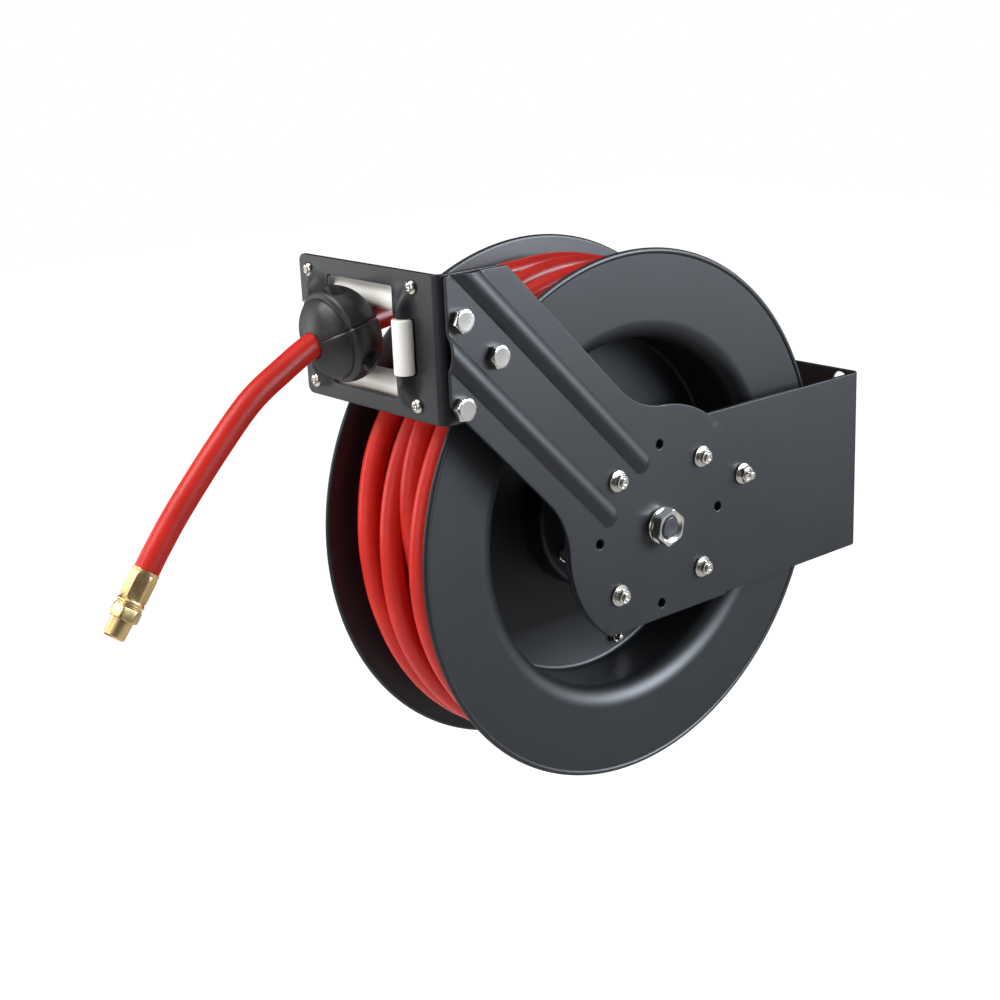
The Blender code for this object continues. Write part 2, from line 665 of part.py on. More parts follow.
def ear_mesh(name, radius, wall):
    """A pressed ear: a bulge with a domed top, flat at the plate, that starts beyond the roller's end."""
    steps = 3
    start = EAR_START + wall
    sections = [(start, radius)]
    for k in range(steps + 1):
        angle = math.pi / 2 * k / steps
        sections.append((EAR_START + EAR_LENGTH + radius * math.sin(angle),
                         max(radius * math.cos(angle), radius * 0.12)))
    mesh = stepped_mesh(name, [(along, size, ROUND) for along, size in sections], 12)
    if wall == 0:
        for vertex in mesh.vertices:
            vertex.co.x = min(vertex.co.x, EAR_X - GUIDE_FRONT + PLATE / 2)
    return mesh


def roller_frame():
    """A pressed ring behind the guide plate, with two lugs that hold the cross rollers' pins."""
    rim_y = SCREW_HALF_WIDTH + FRAME_RIM
    rim_z = SCREW_HALF_HEIGHT + FRAME_RIM + 0.002
    corner = 0.004
    ring = rounded([(-rim_y, -rim_z, corner), (rim_y, -rim_z, corner), (rim_y, rim_z, corner),
                    (-rim_y, rim_z, corner)], 2)
    way_y, way_z = LUG_INNER + FRAME_SHEET / 3, rim_z - FRAME_RIM
    way = [(-way_y, -way_z), (way_y, -way_z), (way_y, way_z), (-way_y, way_z)]
    holes = [circle((a * SCREW_HALF_WIDTH, b * SCREW_HALF_HEIGHT), M5_HOLE) for a in (-1, 1) for b in (-1, 1)]
    middle = -(FRAME_FRONT + FRAME_BACK) / 2
    obj = link("roller_frame", sheet_mesh("roller_frame", [ring, way] + holes, FRAME_SHEET),
               at(middle, GUIDE_Y, GUIDE_Z), FACE_ON)
    half = CROSS_ROLLER_HALF_GAP + CROSS_ROLLER_DROP + CROSS_ROLLER_RADIUS + 0.001
    for side in (-1, 1):
        y = sorted((GUIDE_Y + side * LUG_INNER, GUIDE_Y + side * LUG_OUTER))
        lug = box_mesh("lug", at(-FRAME_FRONT + FRAME_SHEET / 2, y[0], GUIDE_Z - half),
                       at(-FRAME_FRONT + LUG_DEPTH, y[1], GUIDE_Z + half))
        shaped(obj, "UNION", lug)
    bars = []
    for level in (-1, 1):
        z = CROSS_ROLLER_Z + level * CROSS_ROLLER_HALF_GAP
        bars.append((at(-CROSS_ROLLER_X, GUIDE_Y - 0.06, z), at(-CROSS_ROLLER_X, GUIDE_Y + 0.06, z),
                     PIN_RADIUS + CLEAR))
    shaped(obj, "DIFFERENCE", bar_mesh("lug_holes", bars))
    return finish(obj, "powder_coat")


def roller_loop(radius, length):
    half = length / 2
    bore = PIN_RADIUS + CLEAR
    return [(bore, -half), (radius - 0.0008, -half), (radius, -half + 0.0008), (radius, half - 0.0008),
            (radius - 0.0008, half), (bore, half)]


def rollers():
    """Two cross rollers above and below the hose, two upright ones beside it, and their pins."""
    for name, level in (("top", 1), ("low", -1)):
        place = at(-CROSS_ROLLER_X, GUIDE_Y, CROSS_ROLLER_Z + level * CROSS_ROLLER_HALF_GAP)
        turned(f"roller_{name}", roller_loop(CROSS_ROLLER_RADIUS, CROSS_ROLLER_LENGTH), place,
               "white_plastic", 16, parent=joint_axis(f"roller_{name}_axis", place))
        half = LUG_OUTER + 0.0012
        pin = [(-half, PIN_RADIUS, ROUND), (half, PIN_RADIUS, ROUND)]
        finish(link(f"pin_{name}", stepped_mesh("pin", pin), place, aim(TO_FAR)), "zinc")
    for name, side in (("far", 1), ("near", -1)):
        place = at(-SIDE_ROLLER_X, GUIDE_Y + side * SIDE_ROLLER_HALF_GAP, GUIDE_Z)
        turned(f"roller_{name}", roller_loop(SIDE_ROLLER_RADIUS, SIDE_ROLLER_LENGTH), place,
               "white_plastic", 16, (0.0, 0.0, 0.0), joint_axis(f"roller_{name}_axis", place))
        half = EAR_START + EAR_WALL + 0.0035
        pin = [(-half, PIN_RADIUS, ROUND), (half, PIN_RADIUS, ROUND)]
        finish(link(f"pin_{name}", stepped_mesh("pin", pin), place), "zinc")


def drum_half_loop():
    """The far pressing, as (radius, along Y): floor, dished wall, shoulder, flange and rolled rim."""
    middle = CLEAR / 2
    hose_wall = WALL_RADIUS + DRUM_SHEET
    centre = (WALL_RADIUS + SHOULDER, WEB_Y - SHOULDER)
    bead = (FLANGE_RADIUS - BEAD_RADIUS, RIM_TO_RIM / 2 - BEAD_RADIUS)
    loop = [(FLOOR_HOLE, middle), (hose_wall - FLOOR_FILLET, middle), (hose_wall, middle + FLOOR_FILLET)]
    loop += arc(centre, SHOULDER - DRUM_SHEET, math.pi, math.pi / 2, 2)
    loop += arc(bead, BEAD_RADIUS, math.radians(-140), math.radians(140), 4)
    loop += arc(centre, SHOULDER, math.pi / 2, math.pi, 3)
    loop += [(WALL_RADIUS, FLOOR_FACE + FLOOR_FILLET - 0.001), (WALL_RADIUS - FLOOR_FILLET + 0.001, FLOOR_FACE),
             (FLOOR_HOLE, FLOOR_FACE)]
    return loop


def mirrored(loop):
    return [(r, -along) for r, along in loop]


def drum(axle):
    """Two deep pressings, back to back at the middle of the drum."""
    places = ring_of(DRUM_BOLT_CIRCLE, DRUM_BOLT_ANGLE, 4)
    hub_places = ring_of(HUB_BOLT_CIRCLE, HUB_BOLT_ANGLE, 4)
    for name, loop, side in (("drum_half_near", mirrored(drum_half_loop()), -1),
                             ("drum_half_far", drum_half_loop(), 1)):
        obj = turned(name, loop, at(0, 0, 0), "powder_coat", DRUM_STEPS, parent=axle)
        bars = through_y(places, M5_HOLE, side * -0.002, side * (FLOOR_FACE + 0.002))
        bars += through_y(hub_places, M6_HOLE, side * -0.002, side * (FLOOR_FACE + 0.002))
        if side > 0:
            bars.append((stub_port(WALL_RADIUS - 0.01), stub_port(WALL_RADIUS + 0.008), HOSE_RADIUS + 0.001))
        shaped(obj, "DIFFERENCE", bar_mesh(name + "_holes", bars))
    stack = 2 * DRUM_SHEET + CLEAR
    for k, (x, z) in enumerate(places):
        fastener(f"drum_bolt_{k + 1}", at(x, -FLOOR_FACE, z), TO_NEAR, stack + CLEAR + DRUM_SHEET, M5,
                 threaded_nut(M5_FLATS, M5_NUT, M5, 0.0035),
                 [(0.0, M5_HEAD, ROUND), (0.0022, M5_HEAD - 0.001, ROUND)], parent=axle)


def hub_loop():
    """The near hub: a pressed cup on the drum's floor and a long boss for its bush."""
    skin = HUB_BASE + HUB_DEPTH
    return [(BOSS_INNER, HUB_BASE), (BOSS_OUTER, HUB_BASE), (BOSS_OUTER, skin - HUB_SHEET),
            (HUB_RADIUS - HUB_SHEET, skin - HUB_SHEET), (HUB_RADIUS - HUB_SHEET, HUB_BASE),
            (HUB_RADIUS, HUB_BASE), (HUB_RADIUS, skin - 0.003), (HUB_RADIUS - 0.003, skin),
            (BOSS_OUTER + 0.002, skin), (BOSS_OUTER, skin + 0.002), (BOSS_OUTER, BOSS_END), (BOSS_INNER, BOSS_END)]


def hub(axle):
    obj = turned("hub_near", mirrored(hub_loop()), at(0, 0, 0), "powder_coat", 28, parent=axle)
    places = ring_of(HUB_BOLT_CIRCLE, HUB_BOLT_ANGLE, 4)
    skin = HUB_BASE + HUB_DEPTH
    shaped(obj, "DIFFERENCE", bar_mesh("hub_holes", through_y(places, M6_HOLE, -skin - 0.01, -HUB_BASE)))
    for k, (x, z) in enumerate(places):
        fastener(f"hub_bolt_{k + 1}", at(x, -skin, z), TO_NEAR, skin + FLOOR_FACE, M6,
                 plain_hex(M6_FLATS, M6_HEAD_HEIGHT), plain_hex(M6_FLATS, 0.0022), parent=axle)
    bush = [(BUSH_INNER, -BOSS_END), (BUSH_OUTER, -BOSS_END), (BUSH_OUTER, -BOSS_END + 0.020),
            (BUSH_INNER, -BOSS_END + 0.020)]
    turned("bush_near", bush, at(0, 0, 0), "bronze", 20, parent=axle)
    bush = [(BUSH_INNER, ARBOR_END + CLEAR), (BUSH_OUTER, ARBOR_END + CLEAR), (BUSH_OUTER, CASE_BOSS_END),
            (BUSH_INNER, CASE_BOSS_END)]
    turned("bush_far", bush, at(0, 0, 0), "bronze", 20, parent=axle)


def ratchet_outline():
    """Coarse teeth, each rising along an arc and dropping square into its notch."""
    outline = []
    step = 2 * math.pi / RATCHET_TEETH
    root = RATCHET_RADIUS - RATCHET_NOTCH
    for k in range(RATCHET_TEETH):
        start = k * step
        outline.append((root * math.cos(start), root * math.sin(start)))
        outline += arc((0, 0), root, start + 0.1 * step, start + 0.3 * step, 2)
        outline += arc((0, 0), RATCHET_RADIUS, start + 0.48 * step, start + step, 4)
    return outline


def ratchet(axle):
    thickness = RATCHET_THICKNESS
    middle = -(RATCHET_INNER + RATCHET_OUTER) / 2
    outlines = [ratchet_outline(), circle((0, 0), BUSH_INNER + 0.0007, 24)]
    obj = link("ratchet_wheel", sheet_mesh("ratchet_wheel", outlines, thickness), at(0, middle, 0), SIDE_ON, axle)
    finish(obj, "zinc")
    pivot = at(PAWL_BOLT_OFFSET.x, middle, PAWL_BOLT_OFFSET.z)
    to_axle = Vector((-PAWL_BOLT_OFFSET.x, -PAWL_BOLT_OFFSET.z))
    gap = to_axle.length - RATCHET_RADIUS - CLEAR
    nose = to_axle.normalized() * gap
    side = Vector((-nose.y, nose.x)).normalized()
    eye = math.atan2(side.y, side.x)
    outline = arc((0, 0), PAWL_EYE, eye, eye + math.pi, 6)
    outline += [tuple(nose - side * 0.0030), tuple(nose + side * 0.0020)]
    axis = joint_axis("pawl_axis", pivot)
    holes = [circle((0, 0), M6_HOLE)]
    pawl = link("pawl", sheet_mesh("pawl", [outline] + holes, thickness - 0.0004), pivot, SIDE_ON, axis)
    finish(pawl, "zinc")
    inward = LEG_INNER - RATCHET_OUTER
    inner = [(0.0, 0.005, ROUND), (inward - 2 * CLEAR, 0.005, ROUND), (inward - 2 * CLEAR, M6, ROUND),
             (inward + thickness, M6, ROUND), (inward + thickness, 0.005, ROUND),
             (inward + thickness + 0.0015, 0.005, ROUND)]
    fastener("pawl_bolt", at(PAWL_BOLT_OFFSET.x, -HALF_WIDTH, PAWL_BOLT_OFFSET.z), TO_NEAR, PLATE,
             M6, flange_nut(M6_FLATS, M6_NUT, M6_WASHER, M6, 0.004), inner)


def mainspring(axle):
    """The spring's case on the far floor and the strip inside, wound from the arbor to the case."""
    face = CASE_FACE
    wall = CASE_RADIUS - DRUM_SHEET
    loop = [(CASE_RADIUS, HUB_BASE), (CASE_RADIUS + CASE_FLANGE, HUB_BASE),
            (CASE_RADIUS + CASE_FLANGE, HUB_BASE + DRUM_SHEET), (CASE_RADIUS, HUB_BASE + DRUM_SHEET),
            (CASE_RADIUS, face - 0.003), (CASE_RADIUS - 0.003, face), (BOSS_INNER + 0.0045, face),
            (BOSS_INNER + 0.0045, CASE_BOSS_END), (BOSS_INNER, CASE_BOSS_END), (BOSS_INNER, face - DRUM_SHEET),
            (wall - 0.002, face - DRUM_SHEET), (wall, face - DRUM_SHEET - 0.002), (wall, HUB_BASE)]
    obj = turned("spring_case", loop, at(0, 0, 0), "powder_coat", 30, parent=axle)
    places = ring_of(DRUM_BOLT_CIRCLE, DRUM_BOLT_ANGLE, 4)
    holes = through_y(places, M5_HOLE, 0.0, HUB_BASE + DRUM_SHEET + 0.002)
    shaped(obj, "DIFFERENCE", bar_mesh("case_holes", holes))
    start = ARBOR_RADIUS + CLEAR + SPRING_STRIP / 2
    end = wall - CLEAR - SPRING_STRIP / 2
    count = SPRING_TURNS * 16
    data = bpy.data.curves.new("mainspring", "CURVE")
    data.dimensions = "3D"
    data.extrude = SPRING_WIDTH / 2
    spline = data.splines.new("POLY")
    spline.points.add(count)
    for k, point in enumerate(spline.points):
        radius = start + (end - start) * k / count
        angle = 2 * math.pi * SPRING_TURNS * k / count
        point.co = (radius * math.cos(angle), radius * math.sin(angle), 0.0, 1.0)
    middle = (ARBOR_START + ARBOR_END) / 2
    obj = link("mainspring", as_mesh("mainspring", data), at(0, middle, 0), ABOUT_Y, axle)
    skin = obj.modifiers.new("strip", "SOLIDIFY")
    skin.thickness = SPRING_STRIP
    skin.offset = 0.0
    finish(obj, "spring_steel")


def stub_port(radius):
    """Where the hose's inner stub passes a given radius of the far dish's wall."""
    return at(-radius, PORT_Y - PORT_DROP, 0.0)


def swivel(axle):
    """The rotary joint on the axle, and the stub of hose from its port to the dish's wall."""
    inner = CASE_BOSS_END + CLEAR
    loop = [(BUSH_INNER, inner), (SWIVEL_RADIUS - 0.002, inner), (SWIVEL_RADIUS, inner + 0.002),
            (SWIVEL_RADIUS, SWIVEL_END - 0.002), (SWIVEL_RADIUS - 0.002, SWIVEL_END), (BUSH_INNER, SWIVEL_END)]
    obj = turned("swivel_body", loop, at(0, 0, 0), "brass", 24, parent=axle)
    port = bar_mesh("port", [(at(-SWIVEL_RADIUS * 0.6, PORT_Y, 0), at(-PORT_REACH, PORT_Y, 0), PORT_RADIUS)])
    shaped(obj, "UNION", port)
    start = PORT_REACH + 0.012
    reach = WALL_RADIUS - 0.0037 - start
    bend = [(0.0, 0.0), (0.292, 0.098), (0.569, 0.361), (0.745, 0.662), (0.891, 0.925), (1.0, 1.0)]
    route = [at(-PORT_REACH - CLEAR, PORT_Y, 0)]
    route += [at(-start - reach * share, PORT_Y - PORT_DROP * drop, 0) for share, drop in bend]
    route += [stub_port(WALL_RADIUS + DRUM_SHEET / 2)]
    stub = link("hose_stub", tube_curve("hose_stub", [p - axle.location for p in route], HOSE_RADIUS),
                axle.location, parent=axle)
    finish(stub, "hose_rubber")


def axle_and_nuts():
    """The fixed axle: a plain bar with the spring's arbor on it, bored from the far end for air."""
    loop = [(0.0, -NEAR_END), (AXLE_RADIUS - 0.0006, -NEAR_END), (AXLE_RADIUS, -NEAR_END + 0.0006),
            (AXLE_RADIUS, ARBOR_START), (ARBOR_RADIUS, ARBOR_START), (ARBOR_RADIUS, ARBOR_END),
            (AXLE_RADIUS, ARBOR_END), (AXLE_RADIUS, FAR_END), (AXLE_BORE, FAR_END), (AXLE_BORE, PORT_Y - 0.006),
            (0.0, PORT_Y - 0.006)]
    mesh = turned_mesh("axle", loop)
    obj = link("axle", mesh, at(0, 0, 0), ABOUT_Y)
    screw = obj.modifiers.new("turn", "SCREW")
    screw.steps = screw.render_steps = 20
    screw.use_merge_vertices = True
    screw.merge_threshold = 0.00001
    shaped(obj, "DIFFERENCE", bar_mesh("air_way", [(at(-0.01, PORT_Y, 0), at(0.01, PORT_Y, 0), 0.002)]))
    finish(obj, "axle_steel")
    bore = AXLE_RADIUS + CLEAR
    for name, face, outward in (("axle_nut_near", -ARM_OUTER, TO_NEAR), ("axle_nut_far", HALF_WIDTH, TO_FAR)):
        flats = AXLE_NUT_FLATS / 2
        nut = [(CLEAR, AXLE_NUT_WASHER, ROUND), (0.0024, AXLE_NUT_WASHER, ROUND), (0.0032, flats, HEX),
               (NUT_HEIGHT - 0.0008, flats, HEX), (NUT_HEIGHT, flats - 0.0005, ROUND)]
        made = link(name, stepped_mesh(name, nut, 24), at(0, face, 0), aim(outward))
        shaped(made, "DIFFERENCE", bar_mesh("nut_bore", [(at(0, -0.1, 0), at(0, 0.1, 0), bore)]))
        finish(made, "zinc")
    for name, low, high in (("spacer_near", -LEG_INNER + CLEAR, -RATCHET_OUTER - CLEAR),
                            ("spacer_far", SWIVEL_END + CLEAR, LEG_INNER - CLEAR)):
        turned(name, [(bore, low), (BUSH_OUTER, low), (BUSH_OUTER, high), (bore, high)], at(0, 0, 0), "zinc", 20)
    spigot = AXLE_BORE - CLEAR
    rings = [(-0.008, spigot, ROUND), (CLEAR, spigot, ROUND), (CLEAR, 0.0085, HEX), (0.009, 0.0085, HEX),
             (0.009, 0.0062, ROUND), (0.0115, FITTING_THREAD_RADIUS, ROUND), (0.0235, 0.0063, ROUND)]
    inlet = link("air_inlet", stepped_mesh("air_inlet", rings, 24), at(0, FAR_END, 0), aim(TO_FAR))
    way = bar_mesh("inlet_way", [(at(0, FAR_END - 0.02, 0), at(0, FAR_END + 0.03, 0), 0.0026)])
    shaped(inlet, "DIFFERENCE", way)
    finish(inlet, "brass")


def frame_fasteners():
    """Bolts of the arm, the guide plate and the roller frame."""
    for k, (x, z) in enumerate(ring_of(HOLE_CIRCLE, math.pi / 4, 4)):
        fastener(f"arm_bolt_{k + 1}", at(x, -ARM_OUTER, z), TO_NEAR, ARM_OUTER - LEG_INNER, M6,
                 flange_nut(M6_FLATS, M6_NUT, M6_WASHER, M6, 0.0025), plain_hex(M6_FLATS, M6_HEAD_HEIGHT))
    for k, (x, z) in enumerate(GUIDE_BOLTS):
        fastener(f"guide_bolt_{k + 1}", at(x, -ARM_OUTER, z), TO_NEAR, ARM_OUTER - LEG_INNER, M8,
                 plain_hex(M8_FLATS, M8_HEAD_HEIGHT), plain_hex(M8_NUT_FLATS, M8_HEAD_HEIGHT))
    k = 0
    for a in (-1, 1):
        for b in (-1, 1):
            k += 1
            place = at(-GUIDE_FRONT, GUIDE_Y + a * SCREW_HALF_WIDTH, GUIDE_Z + b * SCREW_HALF_HEIGHT)
            dome = [(0.0, M5_HEAD, ROUND), (0.0012, M5_HEAD - 0.0003, ROUND), (0.0024, M5, ROUND)]
            fastener(f"frame_screw_{k}", place, TO_FRONT, GUIDE_FRONT - FRAME_BACK, M5, dome,
                     plain_hex(M5_FLATS, M5_NUT))


def eased(knots, value):
    """A smooth curve through (place, height) knots, by cubic steps between them."""
    for k in range(len(knots) - 1):
        if value <= knots[k + 1][0] or k == len(knots) - 2:
            break
    (x0, y0), (x1, y1) = knots[k], knots[k + 1]
    before = knots[max(k - 1, 0)]
    after = knots[min(k + 2, len(knots) - 1)]
    slope0 = (y1 - before[1]) / (x1 - before[0])
    slope1 = (after[1] - y0) / (after[0] - x0)
    span = x1 - x0
    t = (value - x0) / span
    return ((2 * t**3 - 3 * t**2 + 1) * y0 + (t**3 - 2 * t**2 + t) * span * slope0
            + (3 * t**2 - 2 * t**3) * y1 + (t**3 - t**2) * span * slope1)


def roller_contact():
    """The hose's centre where it passes close under the top roller, from the axle."""
    z = CROSS_ROLLER_Z + CROSS_ROLLER_HALF_GAP - CROSS_ROLLER_RADIUS - HOSE_RADIUS - CLEAR
    return Vector((-CROSS_ROLLER_X, 0.0, z))


def leave_angle():
    """The angle at which a straight hose to the top roller leaves the outer layer."""
    contact = roller_contact()
    return math.atan2(contact.z, contact.x) - math.acos(WOUND_RADIUS / math.hypot(contact.x, contact.z))


def wound_points():
    """Centre line of the outer layer, from its inner end out to where it leaves the drum."""
    turns = LAY[-1][0]
    count = round(turns * LOOP_POINTS)
    points = []
    for k in range(count + 1):
        turn = turns * k / count
        angle = leave_angle() - 2 * math.pi * (turns - turn)
        across = eased(LAY, turn)
        points.append(Vector((WOUND_RADIUS * math.cos(angle), across, WOUND_RADIUS * math.sin(angle))))
    run = Vector((-math.sin(leave_angle()), 0.0, math.cos(leave_angle())))
    points.append(points[-1] + run * 2 * HOSE_RADIUS)
    return points


def least_gap(points, radius):
    """The narrowest space between two turns of one tube, from its centre line."""
    finer = []
    for a, b in zip(points, points[1:]):
        finer += [a.lerp(b, k / 3) for k in range(3)]
    apart = LOOP_POINTS * 3 // 2
    return min((finer[i] - finer[j]).length for i in range(len(finer))
               for j in range(i + apart, len(finer))) - 2 * radius


def smooth_route(points, steps):
    """More points on a smooth curve through the given ones."""
    route = []
    for k in range(len(points) - 1):
        p0 = points[max(k - 1, 0)]
        p1, p2 = points[k], points[k + 1]
        p3 = points[min(k + 2, len(points) - 1)]
        for s in range(steps):
            t = s / steps
            route.append(0.5 * (2 * p1 + (p2 - p0) * t + (2 * p0 - 5 * p1 + 4 * p2 - p3) * t * t
                                + (3 * p1 - p0 - 3 * p2 + p3) * t**3))
    route.append(points[-1])
    return route


def hose_on_drum(axle):
    inner = SHOULDER - DRUM_SHEET - CLEAR
    centre = (WALL_RADIUS + SHOULDER, WEB_Y - SHOULDER)
    half = arc(centre, inner, math.pi, math.pi / 2, 2) + [(CORE_RADIUS, centre[1] + inner)]
    loop = half + mirrored(half)[::-1]
    turned("hose_core", loop, at(0, 0, 0), "hose_rubber", DRUM_STEPS, parent=axle)
    points = wound_points()
    print(f"least gap in the winding: {least_gap(points, HOSE_RADIUS) * 1000:.2f} mm")
    wound = link("hose_wound", tube_curve("hose_wound", points, HOSE_RADIUS, 1), at(0, 0, 0), parent=axle)
    finish(wound, "hose_rubber")


def ball_frame():
    """The ball's own axes: Z along the hose to its free end, X across the split."""
    along = Vector((-math.cos(BALL_TILT), 0.0, -math.sin(BALL_TILT)))
    across = Vector((0.0, math.cos(BALL_SPLIT_ANGLE), math.sin(BALL_SPLIT_ANGLE)))
    across = (across - along * across.dot(along)).normalized()
    return Matrix((across, along.cross(across), along)).transposed()


def ball_loop():
    """Half the ball's outline: a wide round body, a shallow ring groove and a front dome."""
    bore = HOSE_RADIUS + CLEAR
    lip = math.asin((bore + 0.0018) / BALL_RADIUS)
    steps = 9
    groove = 5
    loop = [(bore, -BALL_HALF_LENGTH * math.cos(lip))]
    for k in range(steps + 1):
        angle = lip + (math.pi - 2 * lip) * k / steps
        r, along = BALL_RADIUS * math.sin(angle), -BALL_HALF_LENGTH * math.cos(angle)
        if k == groove:
            loop += [(r, along), (r - 0.0012, along + 0.0004), (r - 0.0012, along + 0.0012)]
            r, along = r - 0.0006, along + 0.0016
        loop.append((r, along))
    loop.append((bore, BALL_HALF_LENGTH * math.cos(lip)))
    return loop


def ball_stop(carrier):
    """Two rubber halves clamped on the hose by a pair of screws."""
    turn = ball_frame().to_euler()
    centre = at(*BALL_CENTRE)
    axes = ball_frame()
    across, lateral = axes.col[0], axes.col[1]
    for name, side in (("ball_upper", 1), ("ball_lower", -1)):
        obj = turned(name, ball_loop(), centre, "black_rubber", 24, turn, carrier)
        low, high = sorted((side * CLEAR / 2, side * 2 * BALL_RADIUS))
        size = 2 * BALL_RADIUS
        shaped(obj, "INTERSECT", box_mesh("half", (low, -size, -size), (high, size, size)), centre, turn)
        bars = []
        for bolt in (-1, 1):
            foot = centre + lateral * BALL_BOLT_OFFSET * bolt
            bars.append((foot - across * size, foot + across * size, M4_HOLE))
        shaped(obj, "DIFFERENCE", bar_mesh("ball_bolt_holes", bars))
        bars = []
        for bolt in (-1, 1):
            foot = centre + lateral * BALL_BOLT_OFFSET * bolt + across * side * BALL_BOLT_SEAT
            bars.append((foot, foot + across * side * size, BALL_RECESS_RADIUS))
        shaped(obj, "DIFFERENCE", bar_mesh("ball_recesses", bars))
    for k, bolt in enumerate((-1, 1)):
        place = centre + lateral * BALL_BOLT_OFFSET * bolt + across * BALL_BOLT_SEAT
        fastener(f"ball_screw_{k + 1}", place, across, 2 * BALL_BOLT_SEAT, M4,
                 [(0.0, M4_HEAD, ROUND), (0.0024, M4_HEAD - 0.0004, ROUND)], plain_hex(M4_FLATS, M4_NUT),
                 parent=carrier)


def free_hose(carrier):
    """The straight stretch through the rollers, the hanging tail, and the end fitting."""
    start = wound_points()[-1]
    run = (start - wound_points()[-2]).normalized()
    back = ball_frame().col[2] * -1
    entry = BALL_CENTRE + back * (BALL_HALF_LENGTH + 0.001)
    bend = entry + back * 0.010
    points = [start + run * CLEAR, start + run * 2 * HOSE_RADIUS]
    points += [points[1].lerp(bend, share) for share in (0.25, 0.5, 0.75, 0.92)]
    points += [entry, BALL_CENTRE + back * CLEAR / 2]
    route = points[:1] + smooth_route(points[1:-1], 2) + points[-1:]
    obj = link("hose_run", tube_curve("hose_run", [at(*p) - carrier.location for p in route], HOSE_RADIUS),
               carrier.location, parent=carrier)
    finish(obj, "hose_rubber")
    tail = [Vector((x - GUIDE_FRONT, BALL_CENTRE.y, z + GUIDE_Z)) for x, z in TAIL_ROUTE]
    exit_point = BALL_CENTRE - back * (BALL_HALF_LENGTH + 0.001)
    route = [BALL_CENTRE - back * CLEAR / 2] + smooth_route([exit_point] + tail[:-1], 2) + tail[-1:]
    obj = link("hose_tail", tube_curve("hose_tail", [at(*p) - carrier.location for p in route], HOSE_RADIUS),
               carrier.location, parent=carrier)
    finish(obj, "hose_rubber")
    ahead = (tail[-1] - tail[-2]).normalized()
    mouth = at(*tail[-1]) + ahead * CLEAR
    length = FERRULE_LENGTH
    rings = [(0.0, FERRULE_COLLAR, ROUND), (0.0016, FERRULE_COLLAR, ROUND),
             (0.0028, FERRULE_CRIMP + 0.0002, ROUND), (0.0042, FERRULE_CRIMP, HEX),
             (length - 0.0032, FERRULE_CRIMP, HEX), (length - 0.0018, FERRULE_COLLAR, ROUND),
             (length - 0.0012, FERRULE_RING, ROUND), (length, FERRULE_RING, ROUND)]
    obj = link("hose_ferrule", stepped_mesh("hose_ferrule", rings, 24), mouth, aim(ahead), carrier)
    finish(obj, "brass")
    base = FERRULE_LENGTH + CLEAR
    hexed = base + 0.0022 + FITTING_HEX_LENGTH
    tip = hexed + FITTING_THREAD_LENGTH
    flats = FITTING_HEX / 2
    rings = [(base, FITTING_COLLAR, ROUND), (base + 0.0012, FITTING_COLLAR, ROUND),
             (base + 0.0022, flats, HEX), (hexed, flats, HEX),
             (hexed, FITTING_THREAD_RADIUS, ROUND), (tip - 0.0015, FITTING_THREAD_RADIUS - 0.0002, ROUND),
             (tip, FITTING_THREAD_RADIUS - 0.001, ROUND)]
    obj = link("hose_fitting", stepped_mesh("hose_fitting", rings, 24), mouth, aim(ahead), carrier)
    deep, open_end = mouth + ahead * (base + 0.004), mouth + ahead * (tip + 0.01)
    shaped(obj, "DIFFERENCE", bar_mesh("fitting_bore", [(deep, open_end, FITTING_BORE)]))
    finish(obj, "brass")


def main():
    axle = joint_axis("drum_axis", at(0, 0, 0))
    carrier = joint_axis("hose_end_axis", at(*BALL_CENTRE))
    base_bracket()
    guide_arm()
    guide_plate()
    roller_frame()
    rollers()
    axle_and_nuts()
    frame_fasteners()
    drum(axle)
    hub(axle)
    ratchet(axle)
    mainspring(axle)
    swivel(axle)
    hose_on_drum(axle)
    ball_stop(carrier)
    free_hose(carrier)


main()
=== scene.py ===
"""The dressed look of a retractable air hose reel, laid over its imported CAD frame.

Each sub-assembly is a class: its dataclass fields hold its sizes in metres, its
methods build the surfaces with numpy and dress them. All places are in the CAD
frame, where the wall face is x = 0 and the drum turns about an axle along Y.
"""

import logging
import math
from collections.abc import Callable
from dataclasses import dataclass, field
from enum import Enum

import bmesh
import bpy
import numpy as np
from mathutils import Matrix
from mathutils.geometry import delaunay_2d_cdt


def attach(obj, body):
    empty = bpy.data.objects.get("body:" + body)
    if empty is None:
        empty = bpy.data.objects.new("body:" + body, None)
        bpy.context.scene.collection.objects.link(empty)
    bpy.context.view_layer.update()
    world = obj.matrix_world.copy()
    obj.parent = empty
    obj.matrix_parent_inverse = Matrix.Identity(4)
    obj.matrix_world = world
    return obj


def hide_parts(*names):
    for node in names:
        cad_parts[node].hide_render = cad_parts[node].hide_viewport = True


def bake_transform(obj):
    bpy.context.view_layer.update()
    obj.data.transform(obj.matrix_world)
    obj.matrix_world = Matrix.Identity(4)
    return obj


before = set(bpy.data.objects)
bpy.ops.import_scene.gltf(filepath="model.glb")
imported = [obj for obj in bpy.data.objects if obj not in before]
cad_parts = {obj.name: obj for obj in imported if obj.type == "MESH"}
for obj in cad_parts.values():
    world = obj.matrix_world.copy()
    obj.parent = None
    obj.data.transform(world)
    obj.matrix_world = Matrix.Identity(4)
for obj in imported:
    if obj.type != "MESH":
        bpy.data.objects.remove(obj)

logging.basicConfig(level=logging.INFO, format="%(levelname)s %(message)s")
LOG = logging.getLogger("hose_reel")

Array = np.ndarray
Socket = bpy.types.NodeSocket
Value = Socket | float | tuple | None

AXLE_X = -0.2075
CLEAR = 0.0003
WELD = 1e-6

# Planes from the drum's middle towards the arm.
ARM_OUTER = 0.0743
LEG_OUTER = 0.0713
LEG_INNER = 0.0683

